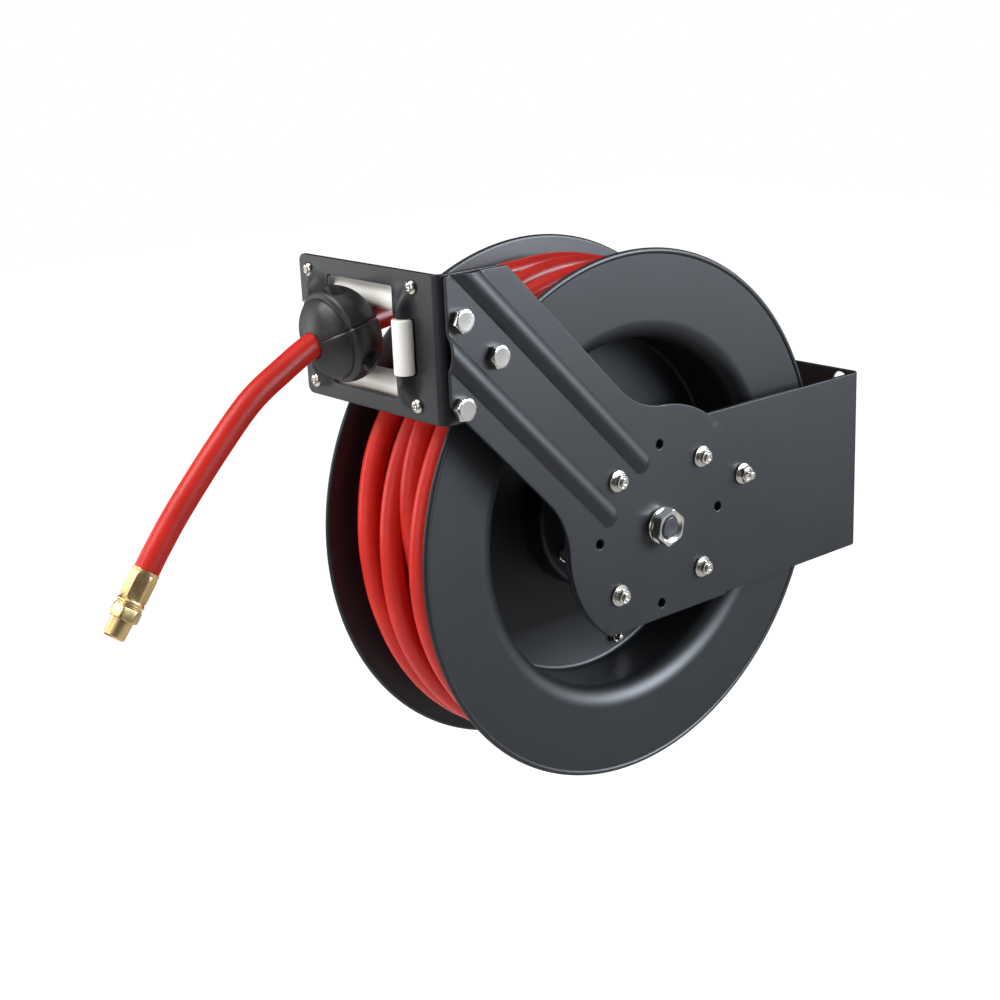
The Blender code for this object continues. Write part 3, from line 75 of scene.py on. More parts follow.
# Places (x, z) from the axle, and the radius of the ring of holes about it.
BOLT_RING = 0.0545
PAWL_BOLT = (0.0819, 0.0166)
GUIDE_BOLTS = ((-0.1587, 0.1608), (-0.1332, 0.1356), (-0.1604, 0.1091))

# The guide plate's front face and the middle of its opening, from the axle.
GUIDE_FRONT = 0.172
GUIDE_Y = 0.0048
GUIDE_Z = 0.1437
SIDE_ROLLER_Y = 0.046
FRAME_SCREWS = tuple((a * 0.052, b * 0.035) for a in (-1, 1) for b in (-1, 1))

BALL_CENTRE = (-0.1846, 0.0095, 0.1464)
BALL_TILT = math.radians(11.0)
BALL_HALF = 0.0212

ALONG_Y = np.array([0.0, 1.0, 0.0])
ABOUT_AXLE = np.array([[1.0, 0.0, 0.0], [0.0, 0.0, 1.0], [0.0, -1.0, 0.0]])


def at(x: float, y: float, z: float) -> Array:
    """A place measured from the drum's axle, in the CAD frame."""
    return np.array([x + AXLE_X, y, z])


class Body(str, Enum):
    """The rigid bodies of the CAD frame that carry a new piece."""

    FRAME = "frame"
    DRUM = "drum"
    TOP_ROLLER = "top_roller"
    LOW_ROLLER = "low_roller"
    NEAR_ROLLER = "near_roller"
    FAR_ROLLER = "far_roller"
    HOSE_END = "hose_end"


class Reach(Enum):
    """What a lamp does to the reel: lights it, shows in its reflections, or both."""

    BOTH = 0
    SHEEN = 1
    FILL = 2


# Finishes


class Graph:
    """Adds nodes to one node tree and links them, with short calls."""

    def __init__(self, tree: bpy.types.NodeTree) -> None:
        """Keeps the tree that the nodes go into."""
        self.tree = tree

    def node(self, kind: str, **settings: object) -> bpy.types.Node:
        """Adds a node.

        Args:
            kind: The node's type.
            settings: Attributes to set on it.

        Returns:
            The node.
        """
        made = self.tree.nodes.new(kind)
        for key, value in settings.items():
            setattr(made, key, value)
        return made

    def feed(self, value: Value, socket: Socket) -> None:
        """Links an output socket to an input, or sets a plain value on it.

        Args:
            value: The output socket or the value; None leaves the input as it is.
            socket: The input.
        """
        if isinstance(value, Socket):
            self.tree.links.new(value, socket)
        elif value is not None:
            socket.default_value = value

    def result(self, kind: str, output: int | str, feeds: dict, **settings: object) -> Socket:
        """Adds a node, feeds it, and hands on what it gives.

        Args:
            kind: The node's type.
            output: Which of its outputs is wanted.
            feeds: Values by the name or number of the input.
            settings: Attributes to set on it.

        Returns:
            The output's socket.
        """
        made = self.node(kind, **settings)
        for key, value in feeds.items():
            self.feed(value, made.inputs[key])
        return made.outputs[output]

    def math(self, operation: str, first: Value, second: Value = None, clamp: bool = False) -> Socket:
        """The result of one sum, held between 0 and 1 where it is clamped."""
        return self.result("ShaderNodeMath", 0, {0: first, 1: second}, operation=operation, use_clamp=clamp)

    def stretch(self, value: Value, low: float, high: float, to_low: float = 0.0,
                to_high: float = 1.0) -> Socket:
        """The value with its range low..high mapped to to_low..to_high, clamped and smooth."""
        feeds = {"Value": value, "From Min": low, "From Max": high, "To Min": to_low, "To Max": to_high}
        return self.result("ShaderNodeMapRange", "Result", feeds, interpolation_type="SMOOTHSTEP")

    def mix(self, factor: Value, first: Value, second: Value) -> Socket:
        """A colour between the first and the second, by the factor."""
        return self.result("ShaderNodeMix", 2, {0: factor, 6: first, 7: second}, data_type="RGBA")

    def noise(self, vector: Value, scale: Value, detail: float = 3.0, roughness: float = 0.5) -> Socket:
        """Smooth noise from 0 to 1."""
        feeds = {"Vector": vector, "Scale": scale, "Detail": detail, "Roughness": roughness}
        return self.result("ShaderNodeTexNoise", "Fac", feeds)

    def bump(self, height: Value, distance: float, strength: float) -> Socket:
        """A normal tilted by the slope of the height."""
        feeds = {"Strength": strength, "Distance": distance, "Height": height}
        return self.result("ShaderNodeBump", "Normal", feeds)

    def attribute(self, name: str) -> Socket:
        """A value that the mesh holds at its points."""
        return self.result("ShaderNodeAttribute", "Fac", {}, attribute_name=name)


class Effect:
    """A shader node group that several finishes share."""

    def __init__(self, name: str, scale_name: str, scale: float, output: str) -> None:
        """Makes the group's sockets: a vector and one number in, one value out.

        Args:
            name: The group's name.
            scale_name: The name of its number.
            scale: The number's default.
            output: The name of what it gives.
        """
        self.tree = bpy.data.node_groups.new(name, "ShaderNodeTree")
        self.tree.interface.new_socket("Vector", in_out="INPUT", socket_type="NodeSocketVector")
        number = self.tree.interface.new_socket(scale_name, in_out="INPUT", socket_type="NodeSocketFloat")
        number.default_value = scale
        self.tree.interface.new_socket(output, in_out="OUTPUT", socket_type="NodeSocketFloat")
        self.graph = Graph(self.tree)
        start = self.graph.node("NodeGroupInput")
        self.vector, self.number = start.outputs["Vector"], start.outputs[scale_name]
        self.scale_name = scale_name

    def finish(self, value: Socket) -> "Effect":
        """Links the value to the group's output.

        Args:
            value: What the group gives.

        Returns:
            The finished group.
        """
        self.graph.feed(value, self.graph.node("NodeGroupOutput").inputs[0])
        return self

    def use(self, graph: Graph, vector: Socket, number: float) -> Socket:
        """What the group gives when it is placed in a material's graph."""
        feeds = {"Vector": vector, self.scale_name: number}
        return graph.result("ShaderNodeGroup", 0, feeds, node_tree=self.tree)


class Effects:
    """The shared effects, each made once."""

    def __init__(self) -> None:
        """Makes coat texture, cloudiness, wear and turning marks."""
        self.peel = self._peel()
        self.clouds = self._clouds()
        self.wear = self._wear()
        self.turning = self._turning()

    @staticmethod
    def _peel() -> Effect:
        """Fine pebbled height of a baked coat or a moulded skin: two noises added.

        Returns:
            The group.
        """
        made = Effect("peel", "Scale", 900.0, "Height")
        graph = made.graph
        coarse = graph.noise(made.vector, made.number, 2.0)
        fine = graph.noise(made.vector, graph.math("MULTIPLY", made.number, 3.1), 1.0)
        return made.finish(graph.math("ADD", coarse, graph.math("MULTIPLY", fine, 0.35)))

    @staticmethod
    def _clouds() -> Effect:
        """Broad soft variation, from 0 to 1, with a finer mottle over it.

        Returns:
            The group.
        """
        made = Effect("clouds", "Scale", 14.0, "Mask")
        graph = made.graph
        broad = graph.noise(made.vector, made.number, 3.0, 0.55)
        mottle = graph.noise(made.vector, graph.math("MULTIPLY", made.number, 9.0), 4.0, 0.6)
        both = graph.math("ADD", graph.math("MULTIPLY", broad, 0.7), graph.math("MULTIPLY", mottle, 0.3))
        return made.finish(graph.stretch(both, 0.36, 0.64))

    @staticmethod
    def _wear() -> Effect:
        """Patchy rubbing along the edges that the mesh's own edge attribute marks.

        Returns:
            The group.
        """
        made = Effect("wear", "Amount", 0.5, "Mask")
        graph = made.graph
        patch = graph.stretch(graph.noise(made.vector, 160.0, 5.0, 0.7), 0.42, 0.66)
        rubbed = graph.math("MULTIPLY", graph.attribute("edge"), patch)
        return made.finish(graph.math("MULTIPLY", rubbed, made.number, clamp=True))

    @staticmethod
    def _turning() -> Effect:
        """Fine rings left by a lathe: a wave of the mesh's 'along' attribute, broken up by noise.

        Returns:
            The group.
        """
        made = Effect("turning", "Pitch", 9000.0, "Height")
        graph = made.graph
        wave = graph.math("SINE", graph.math("MULTIPLY", graph.attribute("along"), made.number))
        drift = graph.noise(made.vector, 700.0, 2.0)
        return made.finish(graph.math("ADD", graph.math("MULTIPLY", wave, 0.3), drift))


@dataclass(frozen=True)
class Finish:
    """One finish: the plain values that every material of it starts from.

    Tones are factors on its colour; the spread is how much smoother and rougher it gets;
    the relief is the bump's distance and strength.
    """

    slot: str
    colour: tuple
    roughness: float
    metallic: float = 0.0
    specular: float = 0.5
    subsurface: float = 0.0
    cloud_scale: float = 60.0
    grain_scale: float = 1200.0
    tones: tuple = (1.0, 1.0)
    spread: tuple = (0.0, 0.0)
    relief: tuple = (0.00002, 0.4)

    def material(self, effects: Effects) -> bpy.types.Material:
        """Makes the material: its shader, plain values, and this finish's own texture.

        Args:
            effects: The shared groups.

        Returns:
            The material, named for its slot.
        """
        made = bpy.data.materials.new(self.slot)
        made.use_nodes = True
        made.diffuse_color = (*self.colour, 1.0)
        graph = Graph(made.node_tree)
        sockets = made.node_tree.nodes["Principled BSDF"].inputs
        sockets["Metallic"].default_value = self.metallic
        sockets["Specular IOR Level"].default_value = self.specular
        if self.subsurface:
            sockets["Subsurface Weight"].default_value = self.subsurface
            sockets["Subsurface Radius"].default_value = (0.004, 0.003, 0.002)
            sockets["Subsurface Scale"].default_value = 1.0
        where = graph.node("ShaderNodeTexCoord").outputs["Object"]
        for label, value in zip(("Base Color", "Roughness", "Normal"), self.texture(graph, where, effects)):
            graph.feed(value, sockets[label])
        return made

    def shade(self, factor: float) -> tuple:
        """The finish's colour made lighter or darker."""
        return tuple(min(c * factor, 1.0) for c in self.colour) + (1.0,)

    def varied(self, graph: Graph, value: Socket, low: float = 0.0, high: float = 1.0) -> Socket:
        """Roughness that a value from low to high moves over the finish's spread."""
        smoother, rougher = self.spread
        return graph.stretch(value, low, high, self.roughness - smoother, self.roughness + rougher)

    def texture(self, graph: Graph, where: Socket, effects: Effects) -> tuple:
        """Works out what varies over the surface; each kind of finish has its own.

        Args:
            graph: The material's graph.
            where: Object coordinates.
            effects: The shared groups.

        Returns:
            Colour, roughness and normal.
        """
        raise NotImplementedError


@dataclass(frozen=True)
class GrainedSkin(Finish):
    """A matte black skin with a pebbled grain and paler edges: baked coat or moulded rubber."""

    wear: float = 0.45
    worn_tone: float = 2.2

    def texture(self, graph: Graph, where: Socket, effects: Effects) -> tuple:
        """Soft clouds of tone, rubbed edges and the grain.

        Args:
            graph: The material's graph.
            where: Object coordinates.
            effects: The shared groups.

        Returns:
            Colour, roughness and normal.
        """
        clouds = effects.clouds.use(graph, where, self.cloud_scale)
        grain = effects.peel.use(graph, where, self.grain_scale)
        wear = effects.wear.use(graph, where, self.wear)
        tone = graph.mix(clouds, *map(self.shade, self.tones))
        tone = graph.mix(wear, tone, self.shade(self.worn_tone))
        return tone, self.varied(graph, clouds), graph.bump(grain, *self.relief)


@dataclass(frozen=True)
class PlatedMetal(Finish):
    """Bright plated or turned metal with faint turning rings and soft smudges."""

    metallic: float = 1.0
    spread: tuple = (0.02, 0.04)
    relief: tuple = (0.000006, 0.15)
    tarnish: tuple = (0.35, 0.33, 0.30)
    tarnished: float = 0.22
    ring_pitch: float = 9000.0

    def texture(self, graph: Graph, where: Socket, effects: Effects) -> tuple:
        """Smudges of tarnish and fine rings.

        Args:
            graph: The material's graph.
            where: Object coordinates.
            effects: The shared groups.

        Returns:
            Colour, roughness and normal.
        """
        clouds = effects.clouds.use(graph, where, self.cloud_scale)
        rings = effects.turning.use(graph, where, self.ring_pitch)
        dull = graph.math("MULTIPLY", clouds, self.tarnished)
        tone = graph.mix(dull, self.shade(1.0), (*self.tarnish, 1.0))
        return tone, self.varied(graph, clouds), graph.bump(rings, *self.relief)


@dataclass(frozen=True)
class HoseRubber(Finish):
    """Smooth red hose: a soft sheen, faint lengthwise streaks and a fine skin."""

    streaks: float = 40.0
    streak_tone: float = 0.80
    streaked: float = 0.25

    def texture(self, graph: Graph, where: Socket, effects: Effects) -> tuple:
        """Streaks that follow the hose, because they are noise of the place round it.

        Args:
            graph: The material's graph.
            where: Object coordinates.
            effects: The shared groups.

        Returns:
            Colour, roughness and normal.
        """
        clouds = effects.clouds.use(graph, where, self.cloud_scale)
        skin = effects.peel.use(graph, where, self.grain_scale)
        turned = graph.math("MULTIPLY", graph.attribute("round"), self.streaks)
        streak = graph.noise(graph.result("ShaderNodeCombineXYZ", 0, {0: turned, 1: clouds}), 1.0, 2.0)
        tone = graph.mix(clouds, *map(self.shade, self.tones))
        tone = graph.mix(graph.stretch(streak, 0.45, 0.75, 0.0, self.streaked), tone,
                         self.shade(self.streak_tone))
        return tone, self.varied(graph, streak, 0.3, 0.7), graph.bump(skin, *self.relief)


@dataclass(frozen=True)
class MouldedPlastic(Finish):
    """Ivory nylon: slightly waxy, with a faint warm stain."""

    stain: tuple = (0.80, 0.73, 0.62)
    stained: float = 0.3

    def texture(self, graph: Graph, where: Socket, effects: Effects) -> tuple:
        """A cloudy stain and a fine skin, with one roughness.

        Args:
            graph: The material's graph.
            where: Object coordinates.
            effects: The shared groups.

        Returns:
            Colour, roughness and normal.
        """
        stain = graph.math("MULTIPLY", effects.clouds.use(graph, where, self.cloud_scale), self.stained)
        skin = effects.peel.use(graph, where, self.grain_scale)
        tone = graph.mix(stain, self.shade(1.0), (*self.stain, 1.0))
        return tone, self.roughness, graph.bump(skin, *self.relief)


POWDER = GrainedSkin("powder_coat", (0.0075, 0.0085, 0.0115), 0.45, cloud_scale=9.0, grain_scale=1100.0,
                     tones=(0.90, 1.10), spread=(0.008, 0.010), relief=(0.00002, 0.35))
RUBBER = GrainedSkin("black_rubber", (0.013, 0.013, 0.014), 0.47, cloud_scale=45.0, grain_scale=1300.0,
                     tones=(0.8, 1.35), spread=(0.10, 0.08), relief=(0.00006, 0.7), wear=0.6, worn_tone=2.4)
HOSE = HoseRubber("hose_rubber", (0.60, 0.024, 0.016), 0.34, specular=0.26, cloud_scale=30.0,
                  grain_scale=1500.0, tones=(0.92, 1.06), spread=(0.05, 0.06), relief=(0.00002, 0.5))
PLASTIC = MouldedPlastic("white_plastic", (0.93, 0.91, 0.86), 0.38, subsurface=0.15)
ZINC = PlatedMetal("zinc", (0.80, 0.77, 0.71), 0.22)
BRASS = PlatedMetal("brass", (0.80, 0.57, 0.27), 0.34, tarnish=(0.50, 0.33, 0.13))
STEEL = PlatedMetal("axle_steel", (0.11, 0.11, 0.12), 0.38, tarnish=(0.05, 0.05, 0.06))
SPRING = PlatedMetal("spring_steel", (0.22, 0.23, 0.26), 0.32, tarnish=(0.12, 0.12, 0.16))
BRONZE = PlatedMetal("bronze", (0.45, 0.30, 0.16), 0.38, tarnish=(0.25, 0.16, 0.08))
FINISHES = (POWDER, ZINC, BRASS, HOSE, RUBBER, PLASTIC, STEEL, SPRING, BRONZE)


# Surfaces


def arc(centre: tuple, radius: float, start: float, end: float, steps: int) -> Array:
    """Points on a circle from one angle to another: centre + radius (cos a, sin a).

    Args:
        centre: The circle's centre.
        radius: Its radius.
        start: The first angle.
        end: The last angle.
        steps: How many parts lie between them.

    Returns:
        One row a point, ends included.
    """
    angles = np.linspace(start, end, steps + 1)
    return np.stack([centre[0] + radius * np.cos(angles), centre[1] + radius * np.sin(angles)], axis=1)


def ring(centre: tuple, radius: float, steps: int = 40) -> Array:
    """A closed circle, without its last point repeated."""
    return arc(centre, radius, 0.0, 2 * math.pi, steps)[:-1]


def rounded(corners: list, steps: int = 8) -> Array:
    """A closed outline in which a fillet arc replaces each corner.

    Args:
        corners: The corners as (x, y, radius); a radius of 0 keeps the corner.
        steps: How many parts each arc has.

    Returns:
        One row a point.
    """
    outline = []
    for k, (x, y, radius) in enumerate(corners):
        here = np.array([x, y])
        if radius == 0:
            outline.append(here[None])
            continue
        before = np.array(corners[k - 1][:2]) - here
        after = np.array(corners[(k + 1) % len(corners)][:2]) - here
        before, after = before / np.linalg.norm(before), after / np.linalg.norm(after)
        half = math.acos(np.clip(before @ after, -1, 1)) / 2
        middle = (before + after) / np.linalg.norm(before + after)
        centre = here + middle * radius / math.sin(half)
        first = here + before * radius / math.tan(half) - centre
        last = here + after * radius / math.tan(half) - centre
        start = math.atan2(first[1], first[0])
        sweep = math.remainder(math.atan2(last[1], last[0]) - start, 2 * math.pi)
        outline.append(arc(centre, radius, start, start + sweep, steps))
    return np.concatenate(outline)


def resampled(loop: Array, spacing: float) -> Array:
    """The same closed loop with each side cut into equal parts.

    Args:
        loop: The loop's points.
        spacing: The longest that a part may be.

    Returns:
        The finer loop.
    """
    parts = []
    for start, end in zip(loop, np.roll(loop, -1, axis=0)):
        count = max(1, math.ceil(np.linalg.norm(end - start) / spacing))
        parts.append(start + (end - start) * np.arange(count)[:, None] / count)
    return np.concatenate(parts)


def signed_area(loop: Array) -> float:
    """The loop's area, positive where it turns left."""
    ahead = np.roll(loop, -1, axis=0)
    return float((loop[:, 0] * ahead[:, 1] - loop[:, 1] * ahead[:, 0]).sum()) / 2


def inside(points: Array, loop: Array) -> Array:
    """Which points lie in the loop: an odd number of its sides crosses the ray to the right.

    Args:
        points: The points to test.
        loop: The closed loop.

    Returns:
        One truth value a point.
    """
    a, b = loop, np.roll(loop, -1, axis=0)
    x, y = points[:, :1], points[:, 1:]
    rise = np.where(b[:, 1] == a[:, 1], 1e-12, b[:, 1] - a[:, 1])
    crossing = (a[:, 1] > y) != (b[:, 1] > y)
    left = x < (b[:, 0] - a[:, 0]) * (y - a[:, 1]) / rise + a[:, 0]
    return (crossing & left).sum(axis=1) % 2 == 1


def distance_to(points: Array, loop: Array) -> Array:
    """Each point's distance to the nearest side of the loop.

    Args:
        points: The points.
        loop: The closed loop.

    Returns:
        One distance a point.
    """
    a = loop[None]
    along = np.roll(loop, -1, axis=0)[None] - a
    away = points[:, None] - a
    share = np.clip((away * along).sum(-1) / np.maximum((along**2).sum(-1), 1e-18), 0, 1)
    return np.sqrt(((away - along * share[..., None]) ** 2).sum(-1)).min(axis=1)


def quads(rows: int, columns: int, wrap_rows: bool = False) -> Array:
    """Faces of a grid of points that is closed along each row.

    Args:
        rows: How many rows the grid has.
        columns: How many points a row has.
        wrap_rows: Whether the last row joins the first.

    Returns:
        Four point numbers a face, counted row by row.
    """
    r, c = np.meshgrid(np.arange(rows if wrap_rows else rows - 1), np.arange(columns), indexing="ij")
    r2, c2 = (r + 1) % rows, (c + 1) % columns
    corners = [r * columns + c, r * columns + c2, r2 * columns + c2, r2 * columns + c]
    return np.stack(corners, -1).reshape(-1, 4)


def capped(rows: int, columns: int) -> list:
    """Faces of a tube of rings, with one flat face at each end.

    Args:
        rows: How many rings it has.
        columns: How many points a ring has.

    Returns:
        The faces as lists of point numbers.
    """
    last = (rows - 1) * columns
    ends = [list(range(columns))[::-1], list(range(last, last + columns))]
    return quads(rows, columns).tolist() + ends


def smoothstep(value: Array, low: float, high: float) -> Array:
    """A rise from 0 at low to 1 at high: t squared times (3 - 2 t)."""
    t = np.clip((value - low) / (high - low), 0, 1)
    return t * t * (3 - 2 * t)


def bell(value: Array, width: float) -> Array:
    """A bump of height 1 at 0: e to the minus (value / width) squared."""
    return np.exp(-((value / width) ** 2))


def spin(angle: float) -> Array:
    """A turn about Z, as a matrix."""
    c, s = math.cos(angle), math.sin(angle)
    return np.array([[c, -s, 0], [s, c, 0], [0, 0, 1]])


def frame_towards(direction: Array, hint: tuple = (0, 0, 1)) -> Array:
    """Three unit columns, with the given direction as the third.

    Args:
        direction: Where the third column points.
        hint: A direction that the first column is square to.

    Returns:
        The matrix.
    """
    along = np.asarray(direction, float) / np.linalg.norm(direction)
    across = np.cross(hint, along)
    if np.linalg.norm(across) < 1e-6:
        across = np.cross((1, 0, 0), along)
    across /= np.linalg.norm(across)
    return np.stack([across, np.cross(along, across), along], axis=1)


@dataclass
class Shape:
    """Points and faces on the way to a mesh, with optional per-point values."""

    points: Array
    faces: list
    values: dict = field(default_factory=dict)

    def moved(self, origin: Array, turn: Array = np.eye(3)) -> "Shape":
        """The shape turned by the matrix's columns and then set at the origin given."""
        return Shape(self.points @ np.asarray(turn).T + origin, self.faces, self.values)

    def joined(self, *others: "Shape") -> "Shape":
        """Puts this shape and others in one list of points.

        Args:
            others: The other shapes.

        Returns:
            The joined shape; a value that one of them lacks is 0 there.
        """
        shapes = (self, *others)
        starts = np.cumsum([0] + [len(s.points) for s in shapes[:-1]])
        faces = [[i + start for i in face] for s, start in zip(shapes, starts) for face in s.faces]
        keys = set().union(*(s.values for s in shapes))
        values = {k: np.concatenate([s.values.get(k, np.zeros(len(s.points))) for s in shapes]) for k in keys}
        return Shape(np.concatenate([s.points for s in shapes]), faces, values)


def lathe(profile: Array, steps: int = 128, edge: Array | None = None) -> Shape:
    """Turns a closed profile about Z: x = r cos a, y = r sin a, z = along.

    Args:
        profile: The section as (radius, along).
        steps: How many copies of it stand round the axis.
        edge: How worn each of its points is.

    Returns:
        The closed shape.
    """
    if signed_area(profile) < 0:
        profile = profile[::-1]
        edge = None if edge is None else edge[::-1]
    angles = np.linspace(0, 2 * math.pi, steps, endpoint=False)[:, None]
    r, along = profile[:, 0][None], profile[:, 1][None]
    points = np.stack([r * np.cos(angles), r * np.sin(angles), along + 0 * angles], -1).reshape(-1, 3)
    values = {"along": np.tile(profile[:, 1] + 0.35 * profile[:, 0], steps)}
    if edge is not None:
        values["edge"] = np.tile(edge, steps)
    return Shape(points, quads(steps, len(profile), True).tolist(), values)


def about_axle(profile: Array, steps: int = 160, edge: Array | None = None) -> Shape:
    """A lathe shape whose 'along' runs from the near side to the far side of the drum."""
    return lathe(profile, steps, edge).moved(at(0, 0, 0), ABOUT_AXLE)


def loft(rings: list, steps: int = 96) -> Shape:
    """A solid of round and six-sided rings along Z, closed by a flat face at each end.

    A hexagon's size at angle a is its half width over flats times 1 / cos(a mod 60 - 30),
    held within its corner limit.

    Args:
        rings: The rings as (height, size, corner limit); a limit of 0 makes a round ring.
        steps: How many points each has.

    Returns:
        The closed shape.
    """
    along, radius, limit = np.array(rings).T
    angles = np.linspace(0, 2 * math.pi, steps, endpoint=False)
    hexed = 1 / np.cos(angles % (math.pi / 3) - math.pi / 6)
    cut = radius[:, None] * np.minimum(hexed[None], limit[:, None])
    size = np.where(limit[:, None] > 0, cut, radius[:, None])
    points = np.stack([size * np.cos(angles), size * np.sin(angles), along[:, None] + 0 * size], -1)
    values = {"along": np.repeat(along, steps) + 0.35 * size.ravel()}
    return Shape(points.reshape(-1, 3), capped(len(along), steps), values)


def tube(path: Array, radius: Array | float, steps: int = 28) -> Shape:
    """A round tube: at each path point, path + r (side cos a + up sin a), ends closed.

    Args:
        path: The centre line's points; it never runs along Y.
        radius: One radius, or one for each point.
        steps: How many points stand round it.

    Returns:
        The closed shape, with its place round the tube as a value.
    """
    tangent = np.gradient(path, axis=0)
    tangent /= np.linalg.norm(tangent, axis=1, keepdims=True)
    side = np.cross(np.broadcast_to(ALONG_Y, path.shape), tangent)
    side /= np.linalg.norm(side, axis=1, keepdims=True)
    up = np.cross(tangent, side)
    angles = np.linspace(0, 2 * math.pi, steps, endpoint=False)[None, :, None]
    size = np.broadcast_to(radius, (len(path),))[:, None, None]
    points = path[:, None] + size * (side[:, None] * np.cos(angles) + up[:, None] * np.sin(angles))
    values = {"round": np.tile(np.linspace(0, 1, steps, endpoint=False), len(path))}
    return Shape(points.reshape(-1, 3), capped(len(path), steps), values)


def spline(knots: Array, count: int) -> Array:
    """Evenly spaced points on a smooth curve through the knots: a uniform cubic, then equal lengths.

    Args:
        knots: The points that the curve passes through.
        count: How many points it gets.

    Returns:
        One row a point.
    """
    knots = np.asarray(knots, float)
    padded = np.vstack([2 * knots[0] - knots[1], knots, 2 * knots[-1] - knots[-2]])
    t = np.linspace(0, 1, 24, endpoint=False)[:, None]
    dense = [0.5 * (2 * p1 + (p2 - p0) * t + (2 * p0 - 5 * p1 + 4 * p2 - p3) * t**2
                    + (3 * p1 - p0 - 3 * p2 + p3) * t**3)
             for p0, p1, p2, p3 in zip(padded, padded[1:], padded[2:], padded[3:])]
    dense = np.vstack([*dense, knots[-1:]])
    length = np.concatenate([[0], np.cumsum(np.linalg.norm(np.diff(dense, axis=0), axis=1))])
    even = np.linspace(0, length[-1], count)
    return np.stack([np.interp(even, length, dense[:, k]) for k in range(dense.shape[1])], axis=1)


def weight_normals(piece: bpy.types.Object) -> None:
    """Lets large flat faces rule the shading beside narrow edge rounds.

    Args:
        piece: The object that gets the modifier.
    """
    made = piece.modifiers.new("weighted", "WEIGHTED_NORMAL")
    made.keep_sharp = True
    made.weight = 100


class Dresser:
    """Makes objects from shapes, gives them a finish and seats them on CAD bodies."""

    def __init__(self) -> None:
        """Makes every material and the collection that the pieces go into."""
        effects = Effects()
        self.materials = {f.slot: f.material(effects) for f in FINISHES}
        self.collection = bpy.data.collections.new("hose_reel_looks")
        bpy.context.scene.collection.children.link(self.collection)

    def look(self, node: str, shape: Shape, finish: Finish, body: Body | None, sharp: float = 38.0,
             weld: float = 0.0) -> bpy.types.Object:
        """Builds the piece that stands for one CAD node, and puts it on its body.

        Args:
            node: The CAD node.
            shape: The piece's points and faces, in the CAD frame.
            finish: What it is made of.
            body: The CAD body that carries it; None leaves the piece on no body.
            sharp: The angle in degrees over which an edge is drawn sharp.
            weld: Points nearer than this are merged; 0 leaves them.

        Returns:
            The new object.
        """
        name = node + "_look"
        mesh = bpy.data.meshes.new(name)
        mesh.from_pydata(shape.points.tolist(), [], shape.faces)
        for label, data in shape.values.items():
            layer = mesh.attributes.new(label, "FLOAT", "POINT")
            layer.data.foreach_set("value", np.ascontiguousarray(data, np.float32))
        if weld:
            work = bmesh.new()
            work.from_mesh(mesh)
            bmesh.ops.remove_doubles(work, verts=work.verts, dist=weld)
            work.to_mesh(mesh)
            work.free()
        mesh.shade_smooth()
        mesh.set_sharp_from_angle(angle=math.radians(sharp))
        mesh.materials.append(self.materials[finish.slot])
        made = bpy.data.objects.new(name, mesh)
        self.collection.objects.link(made)
        if body is not None:
            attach(made, body.value)
        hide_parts(node)
        LOG.info("%s: %d points, %d faces", name, len(mesh.vertices), len(mesh.polygons))
        return made

    def sheet_metal(self, node: str, shape: Shape) -> None:
        """Builds a powder-coated sheet on the frame, its rims welded to its faces."""
        weight_normals(self.look(node, shape, POWDER, Body.FRAME, weld=WELD))

    def carry_over(self, finish: Finish, *nodes: str) -> None:
        """Gives CAD nodes that stay as they are a finish's material.

        Args:
            finish: The finish.
            nodes: The CAD nodes.
        """
        for node in nodes:
            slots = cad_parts[node].data.materials
            slots.clear()
            slots.append(self.materials[finish.slot])


# Sheet metal


@dataclass
class FoldPath:
    """The outer face of a folded strip, seen along Z: straight runs joined by arcs.

    The path turns left at each corner, and the sheet's outer face is on its right.
    """

    corners: list
    radius: float = 0.006

    def lengths(self) -> tuple:
        """Measures the runs along the outer face.

        Returns:
            The start and end of each straight run, and the total.
        """
        steps = np.linalg.norm(np.diff(np.array(self.corners), axis=0), axis=1)
        marks, run = [], 0.0
        for k, length in enumerate(steps):
            last = k == len(steps) - 1
            trimmed = length - self.radius * ((k > 0) + (not last))
            marks.append((run, run + trimmed))
            run += trimmed + (0.0 if last else self.radius * math.pi / 2)
        return marks, run

    def place(self, s: Array, t: Array, depth: Array) -> Array:
        """Maps the flat sheet to space: on a run, corner + s along; on a fold, round the arc.

        Args:
            s: Lengths along the path.
            t: Heights.
            depth: Distances into the metal from the outer face.

        Returns:
            One row a point.
        """
        points = np.array(self.corners)
        marks, _ = self.lengths()
        out = np.zeros((len(s), 3))
        for k, (start, end) in enumerate(marks):
            last = k == len(marks) - 1
            along = (points[k + 1] - points[k]) / np.linalg.norm(points[k + 1] - points[k])
            right = np.array([along[1], -along[0]])
            base = points[k] + along * (self.radius if k > 0 else 0.0)
            here = (s > (start if k > 0 else -np.inf)) & (s <= (np.inf if last else end))
            out[here, :2] = base + (s[here, None] - start) * along - depth[here, None] * right
            if last:
                continue
            centre = base + along * (end - start) - right * self.radius
            fold = (s > end) & (s <= marks[k + 1][0])
            angle = (s[fold] - end) / self.radius
            spoke = right[None] * np.cos(angle)[:, None] + along[None] * np.sin(angle)[:, None]
            out[fold, :2] = centre + spoke * (self.radius - depth[fold, None])
        out[:, 2] = t
        return out


